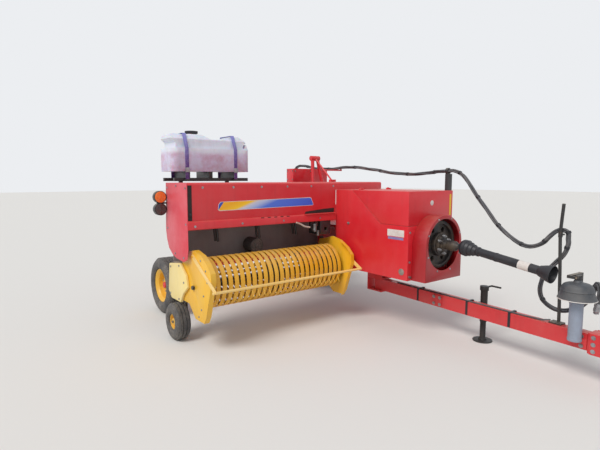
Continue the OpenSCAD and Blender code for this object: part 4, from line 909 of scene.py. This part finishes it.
# Feeder under the hood
# Table and back sheet polished and browned by the crop, and darker still as painted shade of the hood, a tube of
# hanging forks, a dark cover beside the feed opening, a rubber roller and the plunger inside the case.
ROLLER = [(-95, 0), (-95, 30), (-90, 34), (-88, 80), (-80, 86), (80, 86), (88, 80), (90, 34), (95, 30), (95, 0)]

# This enamel is set darker than the worn sheet alone: partly crop wear, partly painted shade from the hood.
crop_worn_and_shade = enamel("crop_worn_and_shade", tone(130, 121, 121), tone(172, 162, 158), fade=0.7, chips=0.8, dust=0.8,
                   rough=0.45, splash=0.1, coat=0.0)
black_enamel = enamel("black_enamel", tone(34, 35, 38), tone(70, 66, 62), fade=0.5, chips=0.45, dust=0.45,
                      rough=0.42)
sheet_piece("feed_table", "baler", "grey_paint", crop_worn_and_shade, SHEET_EDGE, "feed_table_sheet")
sheet_piece("feeder_forks", "baler", "black_paint", black_enamel, 0.002, "feeder_fork_bars")
sheet_piece("feed_cover", "baler", "black_paint", black_enamel, SHEET_EDGE, "feed_cover_sheet")
sheet_piece("plunger", "baler", "grey_paint", crop_worn_and_shade, 0.003, "plunger_block")
turned("feeder_roller", "baler", tyre_rubber, "rubber", ROLLER, standing(-1265, 1478, 880, 90), sides=48, soft=35)


# Pickup
# Sprung tines on four bars run between pressed stripper bands, whose paint is polished off where the crop
# slides. End sheets, a pale drive shield, the tube frame, the gauge arm and the wind guard are painted.
REEL = (1060, 600)
BAND_MIDDLE = (1090, 625)
BAND_RADIUS = 250
BAND_WIDTH = 44
BAND_PITCH = 66.0
BAND_FIRST = -2118
BANDS = 25
BARS = 4
BAR_RADIUS = 165
TINE_TIP = 279
TINE_COIL = 17
TINE_WIRE = 0.0033
TINE_TURN = 20
CORE_DISCS = (-2148, -1274, -490)
SHIELD_SIDE = -2207.2
SHEET_SIDE = -2178.2
# Each: name, X of the sheet, width of the flange, first point of the edge that it follows.
FLANGES = [("sheet_flange_outer", -2173.5, 46, 0), ("sheet_flange_inner", -434.5, -40, 1)]
FLANGE_EDGE = [(-19, 360), (-171, 329), (-288, 261), (-360, 190), (-370, 100), (-325, -30), (-257, -230),
               (-210, -300)]

row, given = recipe("row", Count=25, Step=0.066)
step = add(row, "ShaderNodeCombineXYZ", {0: given["Step"]}).outputs[0]
posts = add(row, "GeometryNodeMeshLine", {"Count": given["Count"], "Offset": step}).outputs[0]
copies = add(row, "GeometryNodeInstanceOnPoints", {"Points": posts, "Instance": given["Geometry"]}).outputs[0]
served(row, given, copies)

band_path = [(1335, 806), (1290, 818), (1230, 836), (1160, 857)]
for k in range(25):
    a = math.radians(90 + 180 * k / 24)
    band_path.append((BAND_MIDDLE[0] + BAND_RADIUS * math.cos(a), BAND_MIDDLE[1] + BAND_RADIUS * math.sin(a)))
band_path += [(1180, 411), (1290, 456), (1378, 489)]
half = BAND_WIDTH / 2
section = [(-half, -9), (-half, -2), (-half + 2, 0), (0, 1.2), (half - 2, 0), (half, -2), (half, -9),
           (half - 2.2, -9), (half - 2.2, -3), (0, -1.4), (-half + 2.2, -3), (-half + 2.2, -9)]


def swept(name, path, section, x, finish):
    """A section of widths and heights along a path that is seen from the machine's side."""
    rows = []
    for i, (y, z) in enumerate(path):
        back, ahead = path[max(i - 1, 0)], path[min(i + 1, len(path) - 1)]
        along = Vector((ahead[0] - back[0], ahead[1] - back[1])).normalized()
        rows.append([(x + a, y + along[1] * b, z - along[0] * b) for a, b in section])
    return lofted(name, rows, finish)


band_enamel = enamel("band_enamel", tone(232, 168, 16), tone(236, 196, 84), fade=0.6, chips=0.75, dust=0.45,
                     splash=0.2)
band = swept("band", band_path, section, BAND_FIRST + half, None)
bands = grown("stripper_band_row", band, row, band_enamel, Count=BANDS, Step=BAND_PITCH / 1000)
dressed(bands, "pickup", "yellow_paint", "stripper_bands", soft=35)
ends = (BAND_FIRST, BAND_FIRST + (BANDS - 1) * BAND_PITCH + BAND_WIDTH)
top = [(1313, 780), (1335, 780), (1335, 800), (1332, 800), (1332, 783), (1313, 783)]
low = [(1374, 488), (1384, 488), (1384, 530), (1380, 530), (1380, 492), (1374, 492)]
for name, shape in (("band_angle_top", top), ("band_angle_low", low)):
    dressed(plate(name, shape, "X", ends, band_enamel, 0.001), "pickup", "yellow_paint")
spots = []
for k in range(BANDS):
    x = BAND_FIRST + half + k * BAND_PITCH
    spots += facing((0, 0.28, 0.96), [(x, 1322, 810.5)]) + facing((0, 0.3, -0.95), [(x, 1368, 483.5)])
bolted("band_bolts", "pickup", spots, 6, 4)

finger = [(-4 + along, -side, BAR_RADIUS + up) for up, side, along in coil(TINE_COIL, 8, 2.5)]
finger += [(4, -14, BAR_RADIUS + 30), (3, -10, BAR_RADIUS + 62), (0, 2, BAR_RADIUS + 78), (0, 29, TINE_TIP)]
wire = grown("finger", path_mesh([[Vector((x, -y, z)) / 1000 for x, y, z in finger]]), tubing, zinc,
             Radius=TINE_WIRE, Sides=7)
first_gap = BAND_FIRST + BAND_WIDTH + (BAND_PITCH - BAND_WIDTH) / 2
wire.data.transform(Matrix.Translation((at(first_gap, 0, 0)[0], 0, 0)))
one_bar = grown("one_bar", wire.data, row, zinc, Count=BANDS - 1, Step=BAND_PITCH / 1000)
bm = bmesh.new()
bm.from_mesh(one_bar.data)
add_rod(bm, 20, 13, [at(x, 0, 0)[0] * 1000 for x in (BAND_FIRST - 30, -482)], BAR_RADIUS)
tine_paint = enamel("tine_paint", tone(240, 190, 48), tone(222, 200, 140), fade=0.5, chips=1.0, dust=0.3)
tines = grown("reel_tines", made("bar", bm), ring, tine_paint, Count=BARS)
for loose in (wire, one_bar):
    bpy.data.objects.remove(loose)
tines.data.transform(Matrix.Translation(at(0, *REEL) - Vector((at(0, 0, 0)[0], 0, 0)))
                     @ Matrix.Rotation(math.radians(TINE_TURN), 4, "X"))
dressed(tines, "pickup_reel", "yellow_paint", "pickup_reel", soft=40)
bm = bmesh.new()
add_turned(bm, [(-2198, 0), (-2198, 20), (-410, 20), (-410, 0)], 28, closed=False)
for x in CORE_DISCS:
    add_turned(bm, [(x, 22), (x, 176), (x + 1, 181), (x + 7, 181), (x + 8, 176), (x + 8, 22)], 64)
core = placed("reel_core", made("reel_core", bm, black_enamel, standing(0, *REEL)))
dressed(core, "pickup_reel", "black_paint", soft=30)

cream_enamel = enamel("cream_enamel", tone(240, 214, 130), tone(246, 232, 184), fade=0.7, chips=0.3, dust=0.3,
                      splash=0.3, rough=0.5)
sheet_piece("pickup_sheets", "pickup", "yellow_paint", yellow_enamel, 0.002, "pickup_end_sheets")
sheet_piece("drive_shield", "pickup", "cream_paint", cream_enamel, 0.008, "pickup_drive_shield")
sheet_piece("pickup_frame", "pickup", "black_paint", black_enamel, 0.003, "pickup_tube_frame")
straw_enamel = enamel("straw_enamel", tone(244, 200, 108), tone(246, 222, 160), fade=0.6, chips=0.4, dust=0.25)
sheet_piece("wind_guard", "wind_guard", "cream_paint", straw_enamel, 0.002, "wind_guard_rod")
for name, x, wide, first in FLANGES:
    edge = [(REEL[0] + y, REEL[1] + z) for y, z in FLANGE_EDGE[first:]]
    flange = swept(name, edge, ((0, 0), (wide, 0), (wide, -3), (0, -3)), x, yellow_enamel)
    dressed(placed(name, flange), "pickup", "yellow_paint", soft=35)
places = ((1230, 620), (1340, 770), (1560, 730), (1580, 450), (1360, 430))
bolted("shield_bolts", "pickup", facing(RIGHT, [(SHIELD_SIDE, *place) for place in places]), 8, 5)
places = ((1110, 340), (960, 340), (900, 420), (850, 560), (1000, 880), (900, 880), (800, 800), (770, 700))
bolted("sheet_bolts", "pickup", facing(RIGHT, [(SHEET_SIDE, *place) for place in places]), 7, 5)


# Knotters and density bars
# Two twine knotters with their cams sit on a red frame above the case, under a hinged box. Behind them
# are the star wheel, the screws with coil springs that squeeze the bale, and the chute.
SPRING_X = 320.5
SPRING_Y = 3330
CASE_TOP = 1062
CASE_LOW = 694
WASHERS = [(28, 31, 1122.6, 6), (28, 31, 1322, 7), (6, 20, 1331, 16), (28, 24, 1122.7, 4)]
KNOTTER_SIDE = 300.2
KNOTTER_FRONT = 2009.8
CAM_FACES = (-79.8, 150.2)
CAM_MIDDLE = (2140, 1300)

worn_steel = steel("worn_steel", tone(176, 168, 156), tone(110, 88, 66), 0.4, 50.0, 0.7)
sheet_piece("knotter_frame", "baler", "red_paint", red_enamel, PLATE_EDGE, "knotter_frame_welded")
sheet_piece("knotters", "baler", "bare_steel", worn_steel, PLATE_EDGE, "knotter_heads")
sheet_piece("needles", "baler", "grey_paint", cast_iron, PLATE_EDGE, "needle_yoke")
sheet_piece("knotter_cover", "knotter_cover", "red_paint", red_enamel, SHEET_EDGE, "knotter_box")
sheet_piece("metering_wheel", "metering_wheel", "bare_steel", worn_steel, 0.002, "metering_star")
sheet_piece("bale_chute", "bale_chute", "red_paint", red_enamel, SHEET_EDGE, "bale_chute_folded")
bm = bmesh.new()
for x in range(-200, 201, 100):
    add_turned(bm, [(x, 0), (x, 7), (x + 60, 7), (x + 60, 0)], 12, closed=False)
louvers = placed("knotter_box_louvers", made("louvers", bm, red_enamel, standing(-30, 2009.5, 1560)))
dressed(louvers, "knotter_cover", "red_paint", soft=40)
spots = []
for s in (-1, 1):
    spots += facing((s, 0, 0), [(s * KNOTTER_SIDE, y, z) for y in (2025, 2145) for z in (1500, 1620, 1735)])
spots += facing(FORWARD, [(x, KNOTTER_FRONT, 1735) for x in (-270, 0, 270)])
bolted("knotter_box_bolts", "knotter_cover", spots, 7, 5)
places = [(x, CAM_MIDDLE[0] + a, CAM_MIDDLE[1] + b) for x in CAM_FACES for a, b, _ in coil(90, 0, 1, 6)[:-1]]
bolted("cam_bolts", "baler", facing((1, 0, 0), places), 8, 6)

helix, bars, screws, cranks = [], [], [], []
for s in (-1, 1):
    x = s * SPRING_X
    helix.append([at(x + a, SPRING_Y + b, 1128 + up) for a, b, up in coil(25, 192, 9, 14)])
    screws.append([at(x, SPRING_Y, z) for z in (636, 1420)])
    cranks.append([at(x, y, 1406) for y in (3344, 3236)])
piped("density_springs", "baler", worn_steel, "bare_steel", helix, 5, 8)
for z in (CASE_LOW - 60.3, CASE_TOP + 0.3):
    outline = oblong(SPRING_Y - 30, SPRING_Y + 30, z, z + 60)
    bars.append(plate("density_bar", outline, "X", (-350.5, 350.5), black_enamel, 0.006))
dressed(joined("density_bars", bars), "baler", "black_paint", "density_frame")
piped("density_screws", "baler", worn_steel, "bare_steel", screws, 13.8)
piped("density_cranks", "baler", black_enamel, "black_paint", cranks, 9.8)
bm = bmesh.new()
for x in (-SPRING_X, SPRING_X):
    for sides, radius, z, tall in WASHERS:
        bmesh.ops.create_cone(bm, cap_ends=True, segments=sides, radius1=radius / 1000, radius2=radius / 1000,
                              depth=tall / 1000, matrix=standing(x, SPRING_Y, z + tall / 2))
washers = eased(placed("density_washers", made("density_washers", bm, zinc)), 0.001)
dressed(washers, "baler", "zinc")


# Twine box and hose post
# A red sheet box for the balls of twine hangs beside the case, under a hinged lid. The black square post
# and the block at the rear hold the hoses.
TWINE_SIDE = 640.2
TWINE_EYES = (2150, 2300, 2450, 2600, 2750)
EYES_AT = (641.5, 1090)

sheet_piece("twine_box", "baler", "red_paint", red_enamel, SHEET_EDGE, "twine_box_folded")
sheet_piece("twine_lid", "twine_lid", "red_paint", red_enamel, 0.0015, "twine_lid_folded")
sheet_piece("hose_post", "baler", "black_paint", black_enamel, 0.003, "hose_post_welded")
places = [(TWINE_SIDE, y, z) for y in (2060, 2430, 2800) for z in (880, 1190)]
bolted("twine_box_bolts", "baler", facing((1, 0, 0), places), 7, 5)
eyes = [[at(EYES_AT[0], y + a, EYES_AT[1] + b) for a, b, _ in coil(17, 0, 1, 20)] for y in TWINE_EYES]
piped("twine_eyes", "baler", worn_steel, "bare_steel", eyes, 3.5, 8)
bolted("post_bolts", "baler", facing(FORWARD, [(378, 59.8, z) for z in (1085, 1125)]), 8, 6)


# Liquid tank
# A rotomoulded tank of milky plastic with soft corners and a recessed top, on a black frame, held by two
# woven straps. Liquid, stained with the straps' colour, darkens it low down.
CAP_AT = (-1605, 2330)
CAP_FROM = 2176.5
TANK_STRAPS = (-1785, -1145)
STRAP_WIDTH = 45
NECK = [(2156, 0), (2156, 74), (2161, 74), (2163, 69), (2180, 68), (2202, 60), (2205, 57), (2205, 42),
        (2203.5, 38), (2203.5, 0)]


def milky(name):
    """Thin milky plastic that lets light through, lilac where the liquid stands behind it."""
    finish, tree, shader, place = surface(name, Subsurface_Weight=0.35, Subsurface_Scale=0.03, Coat_Weight=0.2,
                                          Coat_Roughness=0.3)
    cloud = grain(tree, place, 2.4, 4.0, 0.6)
    uneven = plus(tree, coordinate(tree, place), times(tree, cloud, 0.05))
    liquid = between(tree, uneven, 1.975, 1.93)
    stain = between(tree, grain(tree, place, 5.0, 5.0, 0.7), 0.4, 0.62)
    liquor = blended(tree, stain, tone(214, 206, 230), tone(198, 162, 186))
    shade = blended(tree, liquid, tone(222, 226, 238), liquor)
    streak = grain(tree, stretched(tree, place, (3.0, 3.0, 0.8)), 3.0, 6.0, 0.7)
    shade = blended(tree, between(tree, streak, 0.45, 0.7, 0.0, 0.45), shade, tone(186, 188, 198))
    fine = grain(tree, place, 160.0, 4.0, 0.7)
    film = times(tree, upward(tree, 0.6, 1.0), between(tree, fine, 0.4, 0.7, 0.1, 0.5))
    tree.links.new(blended(tree, film, shade, tone(186, 188, 192)), shader.inputs["Base Color"])
    tree.links.new(between(tree, cloud, 0.3, 0.7, 0.3, 0.5), shader.inputs["Roughness"])
    raised(tree, shader, (fine, 0.12, 0.0006), (cloud, 0.1, 0.004))
    return finish


def webbing(name):
    """Woven strap, faded from purple at its ends to blue over the top."""
    finish, tree, shader, place = surface(name, Specular_IOR_Level=0.3)
    high = between(tree, coordinate(tree, place), 1.75, 2.12)
    shade = blended(tree, high, tone(104, 62, 134), tone(136, 138, 204))
    weave = add(tree, "ShaderNodeTexChecker", {"Vector": place, "Scale": 420.0}).outputs["Fac"]
    worn = between(tree, grain(tree, place, 30.0, 6.0, 0.7), 0.45, 0.7, 0.0, 0.5)
    shade = blended(tree, worn, shade, tone(168, 162, 196))
    tree.links.new(shade, shader.inputs["Base Color"])
    tree.links.new(between(tree, worn, 0.0, 1.0, 0.7, 0.9), shader.inputs["Roughness"])
    raised(tree, shader, (weave, 0.4, 0.0006))
    return finish


milky_plastic = milky("milky_plastic")
strap_web = webbing("strap_web")
mesh = merged_copy("tank")
bm = bmesh.new()
bm.from_mesh(mesh)
bmesh.ops.delete(bm, geom=[v for v in bm.verts if v.co.z > CAP_FROM / 1000], context="VERTS")
bm.to_mesh(mesh)
bm.free()
mesh.materials.append(milky_plastic)
dressed(eased(placed("tank_moulded", mesh), 0.014, 25, 4), "baler", "white_plastic", "tank")
sheet_piece("tank_frame", "baler", "black_paint", black_enamel, 0.003, "tank_frame_welded")
sheet_piece("tank_straps", "baler", "strap_blue", strap_web, 0.0008, "tank_webbing")
grips = []
for k in range(72):
    r = 77.5 if k % 2 else 74.5
    a = math.tau * k / 72
    grips.append((CAP_AT[0] + r * math.cos(a), CAP_AT[1] + r * math.sin(a)))
dressed(plate("tank_cap", grips, "Z", (CAP_FROM, 2203), black_plastic, 0.0008), "baler", "black_plastic")
turned("tank_neck", "baler", black_plastic, "black_plastic", NECK, standing(*CAP_AT, 0, -90, "Y"), sides=64)
buckles = []
for x in TANK_STRAPS:
    outline = oblong(x - 4, x + STRAP_WIDTH + 4, 1705, 1760)
    buckles.append(plate("buckle", outline, "Y", (2099.5, 2104), zinc))
dressed(joined("strap_buckles", buckles), "baler", "zinc")


# Lamps
# A round amber lamp over a dark one, in black housings on one bracket. Their lenses have moulded rings.
LAMP_X = -2288
LAMP_ZS = (1445, 1322)

lens_amber = plain("lens_amber", tone(246, 120, 18), tone(206, 104, 40), 0.14, 24.0, 0.25, bump=0.05,
                   Coat_Weight=0.6, Subsurface_Weight=0.2, Subsurface_Scale=0.01)
lens_dark = plain("lens_dark", tone(58, 30, 30), tone(96, 84, 78), 0.2, 24.0, 0.4, bump=0.05, Coat_Weight=0.5)
sheet_piece("lamps", "baler", "black_paint", black_enamel, 0.002, "lamp_housings")
lens_rings = [(0, 0), (1, 57), (5, 56), (8, 52)]
for k in range(8):
    r = 48 - 5.5 * k
    lens_rings += [(9 + 0.5 * k, r + 2), (10.2 + 0.5 * k, r), (9 + 0.5 * k, r - 2)]
lens_rings.append((14, 0))
bezel = [(0, 57), (6, 58), (6, 61.5), (-8, 61.8), (-8, 57)]
for name, finish, slot, z in (("amber", lens_amber, "amber_lens", LAMP_ZS[0]),
                              ("dark", lens_dark, "black_plastic", LAMP_ZS[1])):
    turned(f"lamp_{name}_lens", "baler", finish, slot, lens_rings, standing(LAMP_X, 1569.8, z, -90), sides=56)
    turned(f"lamp_{name}_bezel", "baler", black_plastic, "black_plastic", bezel, standing(LAMP_X, 1571, z, -90),
           sides=56)


# Tongue
# A square tube runs from its pin below the case to the hitch clevis, with bolted plates and a cable clipped
# along it. The black parking jack is bolted to its side, greasy where the leg slides.
TONGUE_PIN = (197, PIN_Y, 0)
BEAM_TOP = 408
SPLICE = (50.2, 58)
SPLICE_SHAPES = (oblong(840, 960, 284, 396), oblong(2290, 2372, 280, 402))
CHEEK = (65.2, 73)
CHEEK_SHAPE = [(2395, 255), (2550, 255), (2562, 280), (2562, 405), (2545, 425), (2395, 425)]
# Each row of bolts: its face, how far forward, and the heights.
TONGUE_BOLTS = ((58.2, 862, (304, 376)), (58.2, 938, (304, 376)), (58.2, 2331, (302, 380)),
                (73.2, 2425, (285, 340, 395)), (73.2, 2520, (285, 340, 395)))
JACK_FACE = 78.2
STRAPS_AT = (620, 1250, 1700)
CABLE_PITCH = 0.012
CABLE = [(-30, 300, 415), (-31, 700, 414), (-29, 1100, 415), (-32, 1500, 414), (-30, 1850, 415), (-26, 2000, 420),
         (-20, 2060, 434)]

from_drawing = standing(0, 0, 0).inverted()
tongue_place = standing(*TONGUE_PIN, -TONGUE_TURN)
tongue_turn = tongue_place.to_3x3()


def along_beam(x, y, z):
    """A point of the tongue, with X across it and Y forward along it from its pin."""
    return tongue_place @ (Vector((x, -y, z)) / 1000)


def beam_plate(name, outline, across, finish, width=0.0015):
    """A flat plate on the beam's side: an outline of forward and height, through a span across."""
    obj = plate(name, outline, "X", across, finish, 0)
    flip = Matrix.Scale(-1, 4, (0, 1, 0))
    obj.data.transform(tongue_place @ flip @ from_drawing)
    bm = bmesh.new()
    bm.from_mesh(obj.data)
    bmesh.ops.recalc_face_normals(bm, faces=bm.faces)
    bm.to_mesh(obj.data)
    bm.free()
    return eased(obj, width)


sheet_piece("tongue_beam", "tongue", "red_paint", red_enamel, 0.006, "tongue_beam_welded")
plates, spots = [], []
for s in (-1, 1):
    for outline in SPLICE_SHAPES:
        plates.append(beam_plate("splice", outline, [s * x for x in SPLICE], red_enamel))
    plates.append(beam_plate("cheek", CHEEK_SHAPE, [s * x for x in CHEEK], red_enamel))
    side = tongue_turn @ Vector((s, 0, 0))
    for x, y, heights in TONGUE_BOLTS:
        spots += [(along_beam(s * x, y, z), side) for z in heights]
dressed(joined("tongue_plates", plates), "tongue", "red_paint")
bolted("tongue_bolts", "tongue", spots, 12, 8)
cable = [along_beam(*point) for point in CABLE]
cables = [cable, [point + Vector((CABLE_PITCH, 0, 0)) for point in cable]]
piped("beam_cable", "tongue", hose_rubber, "hose_rubber", cables, 5.2, 10)
strips = []
for y in STRAPS_AT:
    over = oblong(y, y + 26, BEAM_TOP + 0.3, BEAM_TOP + 12)
    strips.append(beam_plate("strap", over, (-51.5, 51.5), black_plastic, 0.004))
    for across in ((-51.8, -50.3), (50.3, 51.8)):
        down = oblong(y, y + 26, 276, BEAM_TOP + 8)
        strips.append(beam_plate("strap", down, across, black_plastic, 0.0006))
dressed(joined("beam_straps", strips), "tongue", "black_plastic")

sheet_piece("jack_tube", "tongue", "black_paint", black_iron, 0.004, "jack_tube_turned")
sheet_piece("jack_leg", "jack_leg", "black_paint", black_iron, 0.004, "jack_leg_turned")
side = tongue_turn @ Vector((1, 0, 0))
spots = [(along_beam(JACK_FACE, y, z), side) for y in (1318, 1358) for z in (310, 375)]
bolted("jack_bolts", "tongue", spots, 9, 7)


# Hose stand and front driveline half
# A bent rod, wired to the driveline, lifts the hoses over the tongue, and a bracket carries the joint that
# the front half of the driveline hangs from: a wide black bell with a pale rim over a grey guard tube.
SUPPORT = (-125, 2310, 860)
STAND = [(54, 2098, 412), (62, 2090, 560), (79, 2070, 860), (89, 2054, 1080), (90, 2050, 1153), (86, 2054, 1210),
         (73, 2067, 1320), (60, 2080, 1420)]
PEG = [(91, 2050, 1153), (155, 2050, 1153)]
BELL = [(20, 10), (20, 26), (38, 34), (44, 58), (48, 82), (56, 98), (68, 108), (82, 114), (96, 117), (102, 122),
        (106, 118), (120, 121), (148, 130), (164, 138), (170, 140), (171, 137), (164, 133), (148, 126), (120, 116),
        (98, 112), (70, 103), (58, 92), (54, 12)]
TUBE = [(150, 40), (150, 50), (196, 50), (199, 52), (210, 52), (213, 49.5), (486, 49.5), (489, 52), (506, 52),
        (509, 50), (509, 44), (300, 42)]
RIM = [(166, 138.6), (169, 140.8), (171.6, 140.4), (171.6, 137.2)]
JOINT = [(-14, 0), (-14, 17), (18, 22), (60, 22), (60, 18), (506, 18), (506, 0)]
CROSS = [(-34, 0), (-34, 8), (-32, 9), (32, 9), (34, 8), (34, 0)]

stand_parts = []
for name, line, radius, sides in (("bar", STAND, 0.0135, 16), ("peg", PEG, 0.0082, 12)):
    path = path_mesh([[along_beam(*point) for point in line]])
    stand_parts.append(grown(name, path, tubing, black_enamel, Radius=radius, Sides=sides))
for name, outline, span in (("foot", oblong(-25, 60, -2150, -2050), (408.3, 420)),
                            ("joint", oblong(77, 103, -2065, -2039), (1134, 1180))):
    block = plate(name, outline, "Z", span, black_enamel, 0)
    block.data.transform(tongue_place @ from_drawing)
    stand_parts.append(block)
dressed(joined("hose_stand_bent", stand_parts), "tongue", "black_paint", "hose_stand", soft=35)
sheet_piece("shaft_support", "tongue", "black_paint", black_enamel, 0.003, "shaft_support_welded")
dusty_plastic = plain("dusty_plastic", tone(66, 70, 76), tone(120, 116, 112), 0.5, 26.0, 0.5, bump=0.12)
hang = Matrix.Translation(along_beam(*SUPPORT)) @ tongue_turn.to_4x4() @ Matrix.Rotation(math.radians(90), 4, "Y")
turned("front_bell", "pto_front", dusty_plastic, "black_plastic", BELL, hang, "pto_front", sides=64, closed=True)
turned("front_rim", "pto_front", white_foil, "white_plastic", RIM, hang, sides=64, closed=True)
turned("front_tube", "pto_front", grey_plastic, "grey_paint", TUBE, hang, sides=64, closed=True)
turned("front_joint", "pto_front", cast_iron, "black_paint", JOINT, hang, sides=32)
turned("front_cross", "pto_front", worn_steel, "bare_steel", CROSS,
       hang @ Matrix.Rotation(math.radians(-90), 4, "Y"), sides=24)


# Couplers and bindings of the hoses
# Straps bind the bundle every third of a metre, and each hose ends in a zinc quick coupler with a dust cap.
COUPLER = [(-6, 0), (-6, 13), (0, 14), (26, 14), (28, 11.5), (34, 11.5), (36, 15), (62, 15), (64, 12), (70, 10),
           (84, 10), (86, 0)]
BINDING = [(-11, 20.6), (-11, 22.2), (11, 22.2), (11, 20.6)]


def pointing(point, ahead):
    """A place where the X axis of a piece runs along a hose."""
    return Matrix.Translation(point) @ ahead.normalized().to_track_quat("X", "Z").to_matrix().to_4x4()


for k in range(HOSES):
    line = strands["tongue", k][1]
    turned(f"coupler_{k + 1}", "tongue", zinc, "zinc", COUPLER,
                           pointing(line[-1], line[-1] - line[-3]), sides=28)


def bindings(part, first, step):
    """Flat straps round a bundle of hoses, one at every so many points of its middle line."""
    middle, name = whole[spans[part]], f"{part}_bindings"
    loops = []
    for i in range(first, len(middle) - 2, step):
        bm = bmesh.new()
        add_turned(bm, BINDING, 24)
        place = pointing(middle[i], middle[i + 1] - middle[i - 1])
        loops.append(placed(name, made(name, bm, black_plastic, place)))
    return joined(name, loops)


dressed(bindings("held", 9, 12), "baler", "black_plastic", soft=40)
dressed(bindings("tongue", 8, 14), "tongue", "black_plastic", soft=40)
bridge_straps = bindings("bridge", 10, 13)
smoothed(bridge_straps, 40)
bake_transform(bridge_straps)
for k in range(HOSES):
    hose, line = strands["bridge", k]
    hose, line = strands["tongue", k]
